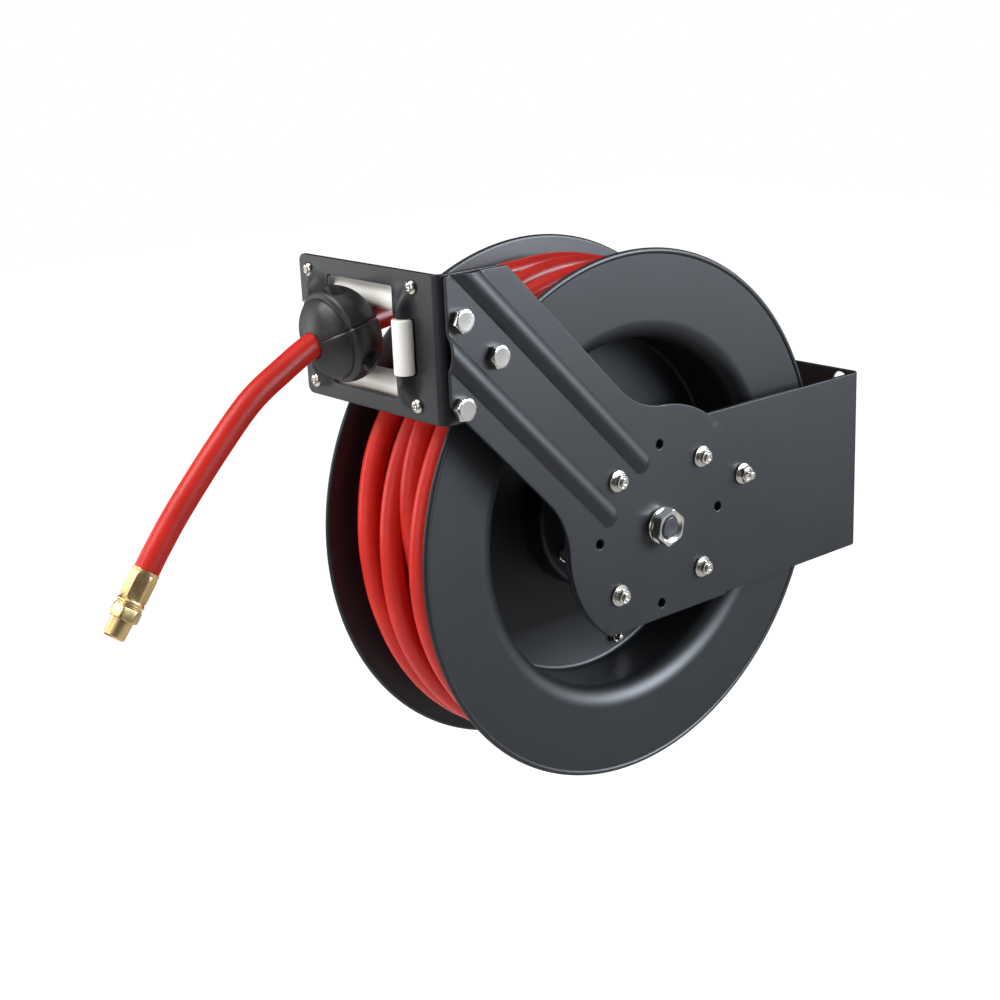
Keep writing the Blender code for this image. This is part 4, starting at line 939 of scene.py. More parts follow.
@dataclass
class Blank:
    """A flat sheet with holes, meshed finely, pressed by a relief and then folded."""

    outline: Array
    holes: list
    thickness: float
    edge: float = 0.00055
    spacing: float = 0.004

    def _offset(self, loop: Array, by: float) -> Array:
        """Moves a loop into the metal, square to its sides.

        Args:
            loop: The loop.
            by: How far.

        Returns:
            The moved loop.
        """
        ahead = np.roll(loop, -1, axis=0) - loop
        ahead /= np.maximum(np.linalg.norm(ahead, axis=1, keepdims=True), 1e-12)
        normal = np.stack([-ahead[:, 1], ahead[:, 0]], axis=1)
        both = normal + np.roll(normal, 1, axis=0)
        both /= np.maximum((both * normal).sum(-1, keepdims=True), 0.35)
        return loop + both * by

    def _skin(self, rims: list, grid: Array) -> tuple:
        """Triangulates the face inside the first rim and outside the others.

        Args:
            rims: The outline and the holes, moved in by the edge round.
            grid: Points that the face takes up where they lie on it.

        Returns:
            The face's points, and its triangles.
        """
        near = self.spacing * 0.2
        grid = grid[inside(grid, rims[0]) & (distance_to(grid, rims[0]) > near)]
        for rim in rims[1:]:
            grid = grid[~inside(grid, rim) & (distance_to(grid, rim) > near)]
        starts = np.cumsum([0] + [len(rim) for rim in rims])
        edges = [(a + i, a + (i + 1) % (b - a)) for a, b in zip(starts, starts[1:]) for i in range(b - a)]
        found = delaunay_2d_cdt(np.concatenate(rims + [grid]).tolist(), edges, [], 0, 1e-9, False)
        flat = np.array([*map(tuple, found[0])])
        faces = np.array(found[2])
        middle = flat[faces].mean(axis=1)
        kept = inside(middle, rims[0])
        for rim in rims[1:]:
            kept &= ~inside(middle, rim)
        faces = faces[kept]
        corners = flat[faces]
        turn = np.cross(corners[:, 1] - corners[:, 0], corners[:, 2] - corners[:, 0])
        return flat, np.where(turn[:, None] > 0, faces, faces[:, ::-1])

    def shape(self, fold: FoldPath, grid: Array, relief: Callable | None = None) -> Shape:
        """Meshes both faces and the rounded edge between them.

        Args:
            fold: Where the sheet lies in space.
            grid: Points inside the outline that carry the relief.
            relief: Height of the pressing at (s, t), outwards.

        Returns:
            The closed shape.
        """
        relief = relief or (lambda s, t: np.zeros(len(s)))
        loops = [resampled(loop, self.spacing / 2) for loop in (self.outline, *self.holes)]
        loops = [loop if (signed_area(loop) > 0) == (k == 0) else loop[::-1] for k, loop in enumerate(loops)]
        rims = [self._offset(loop, self.edge) for loop in loops]
        flat, faces = self._skin(rims, grid)
        s, t = flat.T
        plain = {"edge": np.zeros(len(flat))}
        front = Shape(fold.place(s, t, -relief(s, t)), faces.tolist(), plain)
        back = Shape(fold.place(s, t, self.thickness - relief(s, t)), faces[:, ::-1].tolist(), plain)
        whole = front.joined(back)
        corner = [(1.0, 0.0), (0.62, 0.08), (0.29, 0.29), (0.08, 0.62), (0.0, 1.0)]
        rings = corner + [(inset, self.thickness / self.edge - depth) for inset, depth in corner[::-1]]
        for loop, rim in zip(loops, rims):
            heights = relief(rim[:, 0], rim[:, 1])
            stack = []
            for inset, depth in rings:
                where = loop + (rim - loop) * inset
                stack.append(fold.place(where[:, 0], where[:, 1], depth * self.edge - heights))
            side = quads(len(rings), len(loop))[:, ::-1]
            worn = np.repeat([0.2, 0.8, 1.0, 0.8, 0.5, 0.5, 0.8, 1.0, 0.8, 0.2], len(loop))
            whole = whole.joined(Shape(np.concatenate(stack), side.tolist(), {"edge": worn}))
        return whole


def mesh_grid(us: Array, vs: Array, angle: float = 0.0) -> Array:
    """All pairs of the two coordinates, turned by the angle.

    Args:
        us: The first coordinates.
        vs: The second ones.
        angle: How far the grid is turned.

    Returns:
        One row a point.
    """
    u, v = np.meshgrid(us, vs, indexing="ij")
    c, s = math.cos(angle), math.sin(angle)
    return np.stack([u * c - v * s, u * s + v * c], -1).reshape(-1, 2)


def lines(parts: list, places: int) -> Array:
    """Grid lines in order, from several runs of them, each line once."""
    return np.unique(np.round(np.concatenate(parts), places))


@dataclass
class BaseBracket:
    """The folded U that carries the axle."""

    width: float = 0.1426
    height: float = 0.130
    plate: float = 0.003
    leg_radius: float = 0.080
    fold: float = 0.006
    hole_from_leg: float = 0.0163
    hole_from_edge: float = 0.009
    wall_hole: float = 0.007
    axle_hole: float = 0.0073
    small_hole: float = 0.0033

    def dress(self, dresser: Dresser) -> None:
        """Builds one sheet: a round-ended leg, the wall plate and the other leg.

        Args:
            dresser: Makes the piece.
        """
        reach = -AXLE_X + self.leg_radius
        half, rise = self.width / 2, self.height / 2
        fold = FoldPath([(-reach, -half), (0, -half), (0, half), (-reach, half)], self.fold)
        marks, total = fold.lengths()
        near, far = self.leg_radius, total - self.leg_radius
        swing = math.asin(rise / self.leg_radius)
        outline = np.vstack([arc((near, 0), self.leg_radius, math.pi + swing, math.pi - swing, 40),
                             arc((far, 0), self.leg_radius, swing, -swing, 40)])
        holes = [ring((near, 0), self.axle_hole), ring((far, 0), self.axle_hole)]
        for angle in np.arange(8) * math.pi / 4:
            place = (near + BOLT_RING * math.cos(angle), BOLT_RING * math.sin(angle))
            holes.append(ring(place, self.small_hole, 24))
        holes.append(ring((near + PAWL_BOLT[0], PAWL_BOLT[1]), self.small_hole, 24))
        inset = self.hole_from_leg - self.fold
        for s in (marks[1][0] + inset, marks[1][1] - inset):
            for t in (self.hole_from_edge - rise, rise - self.hole_from_edge):
                holes.append(ring((s, t), self.wall_hole))
        folds = [np.linspace(marks[k][1], marks[k + 1][0], 9) for k in (0, 1)]
        us = np.unique(np.concatenate([np.arange(0.004, total, 0.008), *folds]))
        grid = mesh_grid(us, np.arange(-rise, rise, 0.0082))
        dresser.sheet_metal("base_bracket", Blank(outline, holes, self.plate).shape(fold, grid))


@dataclass
class GuideArm:
    """The stamped arm with two pressed ribs."""

    plate: float = 0.0027
    angle: float = math.radians(134.2)
    half_width: float = 0.0435
    fillet: float = 0.057
    front: float = 0.168
    top: float = 0.1875
    back: float = 0.0625
    base: float = 0.065
    disc: float = 0.080
    rib_offset: float = 0.0205
    rib_start: float = 0.0450
    rib_width: float = 0.0074
    rib_height: float = 0.0042
    axle_hole: float = 0.0073
    small_hole: float = 0.0033
    guide_hole: float = 0.0043
    blank_half: float = 0.30

    def outline(self) -> Array:
        """Draws a bar of one width that flows into a disc about the axle, cut square at the base.

        Returns:
            The closed outline, from the axle.
        """
        across = self.angle - math.pi / 2
        reach = self.disc + self.fillet
        swing = math.acos((self.half_width + self.fillet) / reach)
        start = across + math.pi - swing
        upper = (reach * math.cos(across + swing), reach * math.sin(across + swing))
        lower = (reach * math.cos(start), reach * math.sin(start))
        normal = (math.cos(across), math.sin(across))
        top_x = (self.half_width - self.top * normal[1]) / normal[0]
        front_z = (-self.half_width + self.front * normal[0]) / normal[1]
        first = math.acos(self.back / self.disc)
        corners = rounded([(top_x, self.top, 0.004), (-self.front, self.top, 0.003),
                           (-self.front, front_z, 0.004), (0, 0, 0)])[:-1]
        return np.vstack([
            [[self.back, -self.base]],
            arc((0, 0), self.disc, first, across + swing, 24),
            arc(upper, self.fillet, across + swing + math.pi, across + math.pi, 20),
            corners,
            arc(lower, self.fillet, across, start - math.pi, 20),
            arc((0, 0), self.disc, start, math.pi + math.asin(self.base / self.disc), 40),
        ])

    def ribs(self, x: Array, z: Array) -> Array:
        """Height of the ribs: (1 - (distance to the centre line / half width)^2) ^ 0.8.

        Args:
            x: Places from the axle.
            z: Heights from the axle.

        Returns:
            One height a place.
        """
        along = x * math.cos(self.angle) + z * math.sin(self.angle)
        across = x * math.sin(self.angle) - z * math.cos(self.angle)
        height = np.zeros(len(x))
        for side in (-1, 1):
            away = np.hypot(across - side * self.rib_offset, np.minimum(along - self.rib_start, 0))
            height = np.maximum(height, np.clip(1 - (away / self.rib_width) ** 2, 0, 1) ** 0.8)
        return height * self.rib_height

    def dress(self, dresser: Dresser) -> None:
        """Builds the sheet on a grid that follows the arm and is finer at the ribs.

        Args:
            dresser: Makes the piece.
        """
        outer = LEG_OUTER + CLEAR + self.plate
        shift = np.array([self.blank_half, 0.0])
        fold = FoldPath([(AXLE_X - self.blank_half, -outer), (AXLE_X + self.blank_half, -outer)])
        holes = [ring((BOLT_RING * math.cos(a), BOLT_RING * math.sin(a)), self.small_hole, 24)
                 for a in np.arange(8) * math.pi / 4]
        holes.append(ring((0, 0), self.axle_hole))
        holes += [ring(place, self.guide_hole, 28) for place in GUIDE_BOLTS]
        rib = np.arange(-0.0092, 0.0093, 0.00085)
        across = lines([np.arange(-0.09, 0.09, 0.004), rib + self.rib_offset, rib - self.rib_offset], 5)
        before, after = self.rib_start - 0.010, self.rib_start + 0.004
        along = np.concatenate([np.arange(-0.1, before, 0.006), np.arange(before, after, 0.0009),
                                np.arange(after, 0.27, 0.004)])
        grid = mesh_grid(along, across, self.angle)
        blank = Blank(self.outline() + shift, [hole + shift for hole in holes], self.plate, spacing=0.0032)
        shape = blank.shape(fold, grid + shift, lambda s, t: self.ribs(s - shift[0], t))
        dresser.sheet_metal("guide_arm", shape)


@dataclass
class GuidePlate:
    """The L-shaped plate with its opening and four pressed ears."""

    plate: float = 0.003
    far_edge: float = 0.067
    flange: float = 0.047
    fold: float = 0.006
    height: float = 0.0884
    corner: float = 0.005
    opening: tuple = (0.0325, 0.0338)
    roller_half: float = 0.0167
    slot_half: float = 0.0068
    screw_hole: float = 0.0028
    bolt_hole: float = 0.0043
    ear_height: float = 0.0068
    ear_width: float = 0.0150
    ear_outer_width: float = 0.0082
    ear_rise: float = 0.006
    ear_flat: float = 0.005
    ear_length: float = 0.022

    def ears(self, y: Array, z: Array) -> Array:
        """Height of the ears: a cosine bell across, wider towards the opening, highest at the roller's end.

        Args:
            y: Places across the plate.
            z: Heights on it.

        Returns:
            One height a place.
        """
        outwards = np.abs(y - GUIDE_Y) - SIDE_ROLLER_Y
        width = np.where(outwards > 0, self.ear_outer_width, self.ear_width)
        beside = np.clip(np.abs(outwards) / width, 0, 1)
        beyond = np.abs(z - GUIDE_Z) - self.roller_half
        rise = smoothstep(beyond, -self.ear_rise, 0.0)
        fall = 1 - smoothstep(beyond, self.ear_flat, self.ear_length)
        return self.ear_height * (1 + np.cos(math.pi * beside)) / 2 * rise * fall

    def _opening(self) -> Array:
        """Draws the opening: a rectangle with a slot at each side for an upright roller.

        Returns:
            The closed outline, about its own middle.
        """
        wide, tall = self.opening
        slot, half = SIDE_ROLLER_Y + self.slot_half, self.roller_half
        right = [(wide, -tall, 0.0015), (wide, -half, 0.001), (slot, -half, 0.0008),
                 (slot, half, 0.0008), (wide, half, 0.001), (wide, tall, 0.0015)]
        left = [(-y, z, radius) for y, z, radius in right[::-1]]
        return rounded(left[-1:] + right + left[:-1], 5)

    def dress(self, dresser: Dresser) -> None:
        """Builds the folded sheet on a grid that is finer at the fold and the ears.

        Args:
            dresser: Makes the piece.
        """
        face, leg = AXLE_X - GUIDE_FRONT, -LEG_OUTER
        fold = FoldPath([(face, self.far_edge), (face, leg), (face + self.flange, leg)], self.fold)
        marks, total = fold.lengths()
        low, high = GUIDE_Z - self.height / 2, GUIDE_Z + self.height / 2
        outline = rounded([(0, low, self.corner), (total, low, 0.003), (total, high, 0.003),
                           (0, high, self.corner)])
        middle = self.far_edge - GUIDE_Y
        holes = [self._opening() + np.array([middle, GUIDE_Z])]
        holes += [ring((middle + s, GUIDE_Z + t), self.screw_hole, 20) for s, t in FRAME_SCREWS]
        holes += [ring((marks[1][0] + (x + GUIDE_FRONT - self.fold), z), self.bolt_hole, 24)
                  for x, z in GUIDE_BOLTS]
        folded = np.linspace(marks[0][1], marks[1][0], 10)
        ears = [middle + side * SIDE_ROLLER_Y + np.arange(-0.0154, 0.0155, 0.0008) for side in (-1, 1)]
        us = lines([np.arange(0.003, total, 0.005), folded, *ears], 6)
        upper = GUIDE_Z + self.roller_half + np.arange(-self.ear_rise, self.ear_length, 0.0008)
        vs = lines([np.arange(low + 0.003, high, 0.006), upper, 2 * GUIDE_Z - upper], 6)
        blank = Blank(outline, holes, self.plate, spacing=0.0026)
        shape = blank.shape(fold, mesh_grid(us, vs), lambda s, t: self.ears(self.far_edge - s, t))
        dresser.sheet_metal("guide_plate", shape)


# Fasteners


@dataclass(frozen=True)
class End:
    """One end of a bolt, as rings of (height, size, corner limit); a limit of 0 makes a round ring."""

    rings: tuple

    @staticmethod
    def hex_head(flats: float, height: float) -> "End":
        """A hexagon with a chamfered, nearly flat top and a plain foot.

        Args:
            flats: Its width over flats.
            height: Its height.

        Returns:
            The end.
        """
        f = flats / 2
        return End(((0.0, f * 0.985, 1.16), (height * 0.06, f, 1.16), (height * 0.78, f, 1.16),
                    (height * 0.86, f, 1.10), (height * 0.94, f * 0.99, 1.03), (height, f * 0.90, 1.0),
                    (height, f * 0.80, 0), (height - 0.0001, f * 0.5, 0)))

    @staticmethod
    def flange_nut(flats: float, height: float, washer: float, stub: float, reach: float) -> "End":
        """A nut on its own round flange, with the bolt's thread standing out of it.

        Args:
            flats: The nut's width over flats.
            height: Its height.
            washer: The flange's radius.
            stub: The thread's radius.
            reach: How far the thread stands out.

        Returns:
            The end.
        """
        f, pitch = flats / 2, 0.0009
        rings = [(0.0, washer * 0.97, 0), (0.0003, washer, 0), (0.0009, washer, 0),
                 (0.0013, washer * 0.965, 0), (0.0018, f * 1.12, 0), (0.0020, f, 1.16),
                 (height * 0.82, f, 1.16), (height * 0.90, f, 1.09), (height * 0.96, f * 0.995, 1.03),
                 (height, f * 0.93, 0), (height, stub * 1.22, 0), (height - 0.0004, stub * 1.02, 0)]
        for k in range(int(reach / pitch)):
            rings += [(height + (k + 0.1) * pitch, stub * 0.9, 0), (height + (k + 0.5) * pitch, stub, 0)]
        rings += [(height + reach, stub * 0.82, 0), (height + reach + 0.0002, stub * 0.6, 0)]
        return End(tuple(rings))

    @staticmethod
    def lock_nut(flats: float, height: float, washer: float, stub: float, reach: float) -> "End":
        """A nut with a flange below and a round collar above, the bolt's end just proud of it.

        Args:
            flats: The nut's width over flats.
            height: Its height.
            washer: The flange's radius.
            stub: The bolt's radius.
            reach: How far the bolt stands out.

        Returns:
            The end.
        """
        f = flats / 2
        c = f * 0.94
        tip = height + reach
        return End(((0.0, washer * 0.97, 0), (0.0003, washer, 0), (0.0008, washer, 0),
                    (0.0011, washer * 0.97, 0), (0.0016, f * 0.84, 1.02), (0.0020, f * 0.86, 1.10),
                    (height * 0.66, f * 0.86, 1.10), (height * 0.70, f * 0.84, 1.02), (height * 0.71, c, 0),
                    (height * 0.92, c, 0), (height * 0.98, c * 0.95, 0), (height, c * 0.84, 0),
                    (height, c * 0.74, 0), (height - 0.0009, c * 0.70, 0), (height - 0.0009, stub, 0),
                    (tip - 0.0004, stub, 0), (tip, stub * 0.84, 0), (tip, stub * 0.45, 0),
                    (tip - 0.0003, stub * 0.30, 0)))

    @staticmethod
    def dome(radius: float, height: float) -> "End":
        """A button head with a small round recess.

        Args:
            radius: Its radius.
            height: Its height.

        Returns:
            The end.
        """
        rim = 1.28
        rings = [(height * math.sin(a) / math.sin(rim), radius * math.cos(a * 0.92), 0)
                 for a in np.linspace(0.12, rim, 7)]
        recess = ((height - 0.0001, radius * 0.30, 0), (height - 0.0009, radius * 0.24, 0))
        return End(((0.0, radius * 0.97, 0), *rings, *recess))

    @staticmethod
    def pan(radius: float, height: float) -> "End":
        """A flat head with a rounded rim."""
        return End(((0.0, radius, 0), (height * 0.55, radius, 0), (height * 0.85, radius * 0.93, 0),
                    (height, radius * 0.78, 0), (height, radius * 0.3, 0)))

    @staticmethod
    def shoulder(radius: float, length: float, pin: float, reach: float) -> "End":
        """A spacer, a bare pin of some reach, and a cap as wide as the spacer, as under a pawl."""
        cap = length + reach
        return End(((0.0, radius, 0), (length, radius, 0), (length, pin, 0), (cap, pin, 0),
                    (cap, radius, 0), (cap + 0.0015, radius, 0)))


@dataclass(frozen=True)
class Bolt:
    """A bolt through a stack of plates, with an end on each side."""

    node: str
    place: Array
    outward: Array | tuple
    grip: float
    shank: float
    outer: End
    inner: End
    body: Body = Body.FRAME
    turn: float = 0.0

    def dress(self, dresser: Dresser) -> None:
        """Builds the inner end, the shank and the outer end as one run of rings.

        Args:
            dresser: Makes the piece.
        """
        rings = [(-self.grip - CLEAR - h, size, limit) for h, size, limit in reversed(self.inner.rings)]
        rings += [(-self.grip - CLEAR, self.shank, 0), (CLEAR, self.shank, 0)]
        rings += [(CLEAR + h, size, limit) for h, size, limit in self.outer.rings]
        spun = frame_towards(self.outward) @ spin(self.turn)
        dresser.look(self.node, loft(rings, 72).moved(self.place, spun), ZINC, self.body, sharp=24.0)


@dataclass
class Fasteners:
    """Every bolt, nut and screw of the frame and the drum, sized and placed as in the CAD."""

    hub_skin: float = 0.02025
    hub_ring: float = 0.045
    floor: float = 0.00195
    floor_ring: float = 0.107
    near: tuple = (0.0, -1.0, 0.0)

    def _frame_bolts(self) -> list:
        """The bolts that hold arm, guide plate, roller frame and pawl.

        Returns:
            The bolts.
        """
        nut = End.lock_nut(flats=0.010, height=0.0058, washer=0.0072, stub=0.003, reach=0.0016)
        grip = ARM_OUTER - LEG_INNER
        made = []
        for k in range(4):
            a = math.pi / 4 + k * math.pi / 2
            place = at(BOLT_RING * math.cos(a), -ARM_OUTER, BOLT_RING * math.sin(a))
            made.append(Bolt(f"arm_bolt_{k + 1}", place, self.near, grip, 0.003, nut,
                             End.hex_head(0.010, 0.0042), turn=0.35 + 1.1 * k))
        for k, (x, z) in enumerate(GUIDE_BOLTS):
            made.append(Bolt(f"guide_bolt_{k + 1}", at(x, -ARM_OUTER, z), self.near, grip, 0.004,
                             End.hex_head(0.013, 0.0048), End.hex_head(0.011, 0.0048), turn=0.2 + 0.9 * k))
        for k, (y, z) in enumerate(FRAME_SCREWS):
            place = at(-GUIDE_FRONT, GUIDE_Y + y, GUIDE_Z + z)
            made.append(Bolt(f"frame_screw_{k + 1}", place, (-1, 0, 0), 0.0053, 0.0025,
                             End.dome(0.0045, 0.0024), End.hex_head(0.008, 0.0042)))
        nut = End.flange_nut(flats=0.010, height=0.0058, washer=0.0072, stub=0.003, reach=0.004)
        under = End.shoulder(radius=0.005, length=0.01565, pin=0.003, reach=0.005)
        place = at(PAWL_BOLT[0], -LEG_OUTER, PAWL_BOLT[1])
        made.append(Bolt("pawl_bolt", place, self.near, 0.003, 0.003, nut, under, turn=0.15))
        return made

    def _drum_bolts(self) -> list:
        """The bolts that join the drum's halves and those of the near hub.

        Returns:
            The bolts.
        """
        nut = End.flange_nut(flats=0.008, height=0.0042, washer=0.0046, stub=0.0025, reach=0.0033)
        made = []
        for k in range(4):
            a = math.radians(-77) + k * math.pi / 2
            place = at(self.floor_ring * math.cos(a), -self.floor, self.floor_ring * math.sin(a))
            made.append(Bolt(f"drum_bolt_{k + 1}", place, self.near, 0.006, 0.0025, nut,
                             End.pan(0.0045, 0.0022), Body.DRUM, 0.4 * k))
            a = math.radians(-150) + k * math.pi / 2
            place = at(self.hub_ring * math.cos(a), -self.hub_skin, self.hub_ring * math.sin(a))
            made.append(Bolt(f"hub_bolt_{k + 1}", place, self.near, self.hub_skin + self.floor, 0.003,
                             End.hex_head(0.010, 0.0042), End.hex_head(0.010, 0.0022), Body.DRUM,
                             0.3 + 0.5 * k))
        return made

    def dress(self, dresser: Dresser) -> None:
        """Builds them all."""
        for bolt in self._frame_bolts() + self._drum_bolts():
            bolt.dress(dresser)


# Drum and axle


@dataclass
class DrumHalves:
    """Two deep pressings, back to back: floor, dished wall, shoulder, flange, rolled rim."""

    flange: float = 0.178
    half_width: float = 0.05285
    bead: float = 0.00205
    web_y: float = 0.05055
    sheet: float = 0.0018
    shoulder: float = 0.014
    wall: float = 0.1182
    floor_fillet: float = 0.004
    floor_hole: float = 0.0175

    def profile(self) -> Array:
        """Draws the far half's section.

        Returns:
            The closed section as (radius, along Y).
        """
        middle = CLEAR / 2
        outer, face = self.wall + self.sheet, middle + self.sheet
        centre = (self.wall + self.shoulder, self.web_y - self.shoulder)
        rim = (self.flange - self.bead, self.half_width - self.bead)
        wide, tight = self.floor_fillet, self.floor_fillet - 0.001
        return np.vstack([
            [[self.floor_hole, middle]],
            arc((outer - wide, middle + wide), wide, -math.pi / 2, 0, 8),
            arc(centre, self.shoulder - self.sheet, math.pi, math.pi / 2, 14),
            arc(rim, self.bead, math.radians(-90), math.radians(152), 20),
            arc(centre, self.shoulder, math.pi / 2, math.pi, 20),
            arc((self.wall - tight, face + tight), tight, 0, -math.pi / 2, 8),
            [[self.floor_hole, face]],
        ])

    def dress(self, dresser: Dresser) -> None:
        """Turns both halves from the one section, worn at the rim.

        Args:
            dresser: Makes the pieces.
        """
        profile = self.profile()
        edge = bell(profile[:, 0] - self.flange, 0.0016)
        for node, side in (("drum_half_far", 1), ("drum_half_near", -1)):
            shape = about_axle(profile * np.array([1, side]), 288, edge)
            dresser.look(node, shape, POWDER, Body.DRUM)


@dataclass
class DrumInside:
    """Hub, bushes, spring case, ratchet and swivel: what the open dishes show."""

    bush_inner: float = 0.0073
    bush_outer: float = 0.011
    bush_length: float = 0.020
    boss_inner: float = 0.0113
    boss_outer: float = 0.0168
    base: float = 0.00225
    hub_radius: float = 0.056
    hub_wall: float = 0.003
    skin: float = 0.02025
    boss_end: float = 0.04675
    case_radius: float = 0.0988
    case_flange: float = 0.015
    case_face: float = 0.02425
    case_boss: float = 0.0158
    case_boss_end: float = 0.03255
    sheet: float = 0.0018

    def dress(self, dresser: Dresser) -> None:
        """Turns hub, spring case and near bush, and finishes the nodes that stay.

        Args:
            dresser: Makes the pieces.
        """
        inner, outer, wall = self.boss_inner, self.boss_outer, self.hub_radius - self.hub_wall
        floor = -self.skin + self.hub_wall
        hub = [(inner, -self.base, 0), (outer, -self.base, 0), (outer, floor, 0), (wall, floor, 0.002),
               (wall, -self.base, 0), (self.hub_radius, -self.base, 0), (self.hub_radius, -self.skin, 0.004),
               (outer, -self.skin, 0.003), (outer, -self.boss_end, 0.001), (inner, -self.boss_end, 0.0005)]
        dresser.look("hub_near", about_axle(rounded(hub, 6)), POWDER, Body.DRUM)
        radius, rim, face = self.case_radius, self.case_radius + self.case_flange, self.case_face
        low, top = self.base + self.sheet, face - self.sheet
        case = [(radius, self.base, 0), (rim, self.base, 0.0005), (rim, low, 0.0008), (radius, low, 0.001),
                (radius, face, 0.005), (self.case_boss, face, 0.001),
                (self.case_boss, self.case_boss_end, 0.001), (inner, self.case_boss_end, 0), (inner, top, 0),
                (radius - self.sheet, top, 0.003), (radius - self.sheet, self.base, 0)]
        dresser.look("spring_case", about_axle(rounded(case, 6)), POWDER, Body.DRUM)
        start, end = -self.boss_end, -self.boss_end + self.bush_length
        bush = np.array([(self.bush_inner, start), (self.bush_outer, start),
                         (self.bush_outer, end), (self.bush_inner, end)])
        dresser.look("bush_near", about_axle(bush, 96), BRONZE, Body.DRUM)
        dresser.carry_over(BRONZE, "bush_far")
        dresser.carry_over(SPRING, "mainspring")
        dresser.carry_over(ZINC, "ratchet_wheel", "pawl", "spacer_near", "spacer_far")
        dresser.carry_over(BRASS, "swivel_body")
        dresser.carry_over(HOSE, "hose_stub")
        dresser.carry_over(POWDER, "roller_frame")


@dataclass
class Axle:
    """The fixed axle, its two flange nuts and the air inlet."""

    radius: float = 0.007
    arbor: float = 0.012
    arbor_run: tuple = (0.00525, 0.02095)
    near_end: float = 0.0840
    far_end: float = 0.0838
    lead: float = 0.0006
    bore: float = 0.004
    bore_end: float = 0.0353
    nut_flats: float = 0.022
    nut_height: float = 0.0102
    washer: float = 0.0122
    nut_turn: float = 0.32

    def dress(self, dresser: Dresser) -> None:
        """Turns the axle and sets a nut at each end.

        Args:
            dresser: Makes the pieces.
        """
        r, near, far = self.radius, -self.near_end, self.far_end
        start, end = self.arbor_run
        section = np.array([(0.0, near + 0.0004), (r * 0.45, near), (r - self.lead, near),
                            (r, near + self.lead), (r, start), (self.arbor, start), (self.arbor, end),
                            (r, end), (r, far), (self.bore, far), (self.bore, self.bore_end),
                            (0.0, self.bore_end)])
        dresser.look("axle", about_axle(section, 96), STEEL, Body.FRAME, sharp=30, weld=WELD)
        for node, face, side in (("axle_nut_near", -ARM_OUTER, -1.0), ("axle_nut_far", LEG_OUTER, 1.0)):
            dresser.look(node, self._nut(face, side), ZINC, Body.FRAME, sharp=24, weld=WELD)
        dresser.carry_over(BRASS, "air_inlet")

    def _nut(self, face: float, side: float) -> Shape:
        """Builds a flange nut: outer rings like a bolt's, then back down its round bore.

        Args:
            face: The plane that it sits on, along Y.
            side: The way that it stands out, 1 or -1.

        Returns:
            The closed shape.
        """
        f, h, w, steps = self.nut_flats / 2, self.nut_height, self.washer, 96
        thread = self.radius + 0.0003
        rings = [(CLEAR, w * 0.98, 0), (0.0006, w, 0), (0.0016, w, 0), (0.0022, w * 0.975, 0),
                 (0.0028, f * 1.08, 0), (0.0031, f, 1.16), (h * 0.88, f, 1.16), (h * 0.95, f, 1.12),
                 (h, f * 0.965, 1.09), (h, f * 0.88, 0), (h - 0.0014, thread + 0.0003, 0),
                 (h - 0.0018, thread, 0), (CLEAR, thread, 0)]
        shape = loft(rings, steps)
        shape.faces = quads(len(rings), steps, True).tolist()
        spun = frame_towards((0, side, 0)) @ spin(self.nut_turn)
        return shape.moved(at(0, face, 0), spun)


# Rollers, hose and ball


@dataclass
class Rollers:
    """Two cross rollers and two upright ones, with their pins."""

    cross_x: float = -0.1601
    cross_low: float = 0.1141
    cross_high: float = 0.1673
    cross_radius: float = 0.0082
    cross_length: float = 0.0884
    side_x: float = -0.1756
    side_radius: float = 0.0063
    side_length: float = 0.0328
    bore: float = 0.0028
    recess: float = 0.0007

    def _roller(self, radius: float, length: float) -> Shape:
        """Turns a roller: a barrel with rounded ends, each with a recess round its hub.

        Args:
            radius: Its radius.
            length: Its length.

        Returns:
            The closed shape, about Z.
        """
        half, sunk, hub = length / 2, length / 2 - self.recess, self.bore + 0.0013
        top = [(radius, half, 0.0009), (radius - 0.0012, half, 0.0002), (radius - 0.0014, sunk, 0),
               (hub, sunk, 0), (hub, half, 0.0002), (self.bore, half, 0.0001)]
        return lathe(rounded([(r, -z, fillet) for r, z, fillet in top[::-1]] + top, 6), 72)

    def dress(self, dresser: Dresser) -> None:
        """Sets the four rollers on their bodies.

        Args:
            dresser: Makes the pieces.
        """
        cross = self._roller(self.cross_radius, self.cross_length)
        side = self._roller(self.side_radius, self.side_length)
        for node, z, body in (("roller_top", self.cross_high, Body.TOP_ROLLER),
                              ("roller_low", self.cross_low, Body.LOW_ROLLER)):
            dresser.look(node, cross.moved(at(self.cross_x, GUIDE_Y, z), ABOUT_AXLE), PLASTIC, body)
        for node, y, body in (("roller_near", GUIDE_Y - SIDE_ROLLER_Y, Body.NEAR_ROLLER),
                              ("roller_far", GUIDE_Y + SIDE_ROLLER_Y, Body.FAR_ROLLER)):
            dresser.look(node, side.moved(at(self.side_x, y, GUIDE_Z)), PLASTIC, body)
        dresser.carry_over(ZINC, "pin_top", "pin_low", "pin_near", "pin_far")


def along_ball() -> Array:
    """The way that the hose runs through the ball, towards its free end."""
    return np.array([-math.cos(BALL_TILT), 0.0, -math.sin(BALL_TILT)])


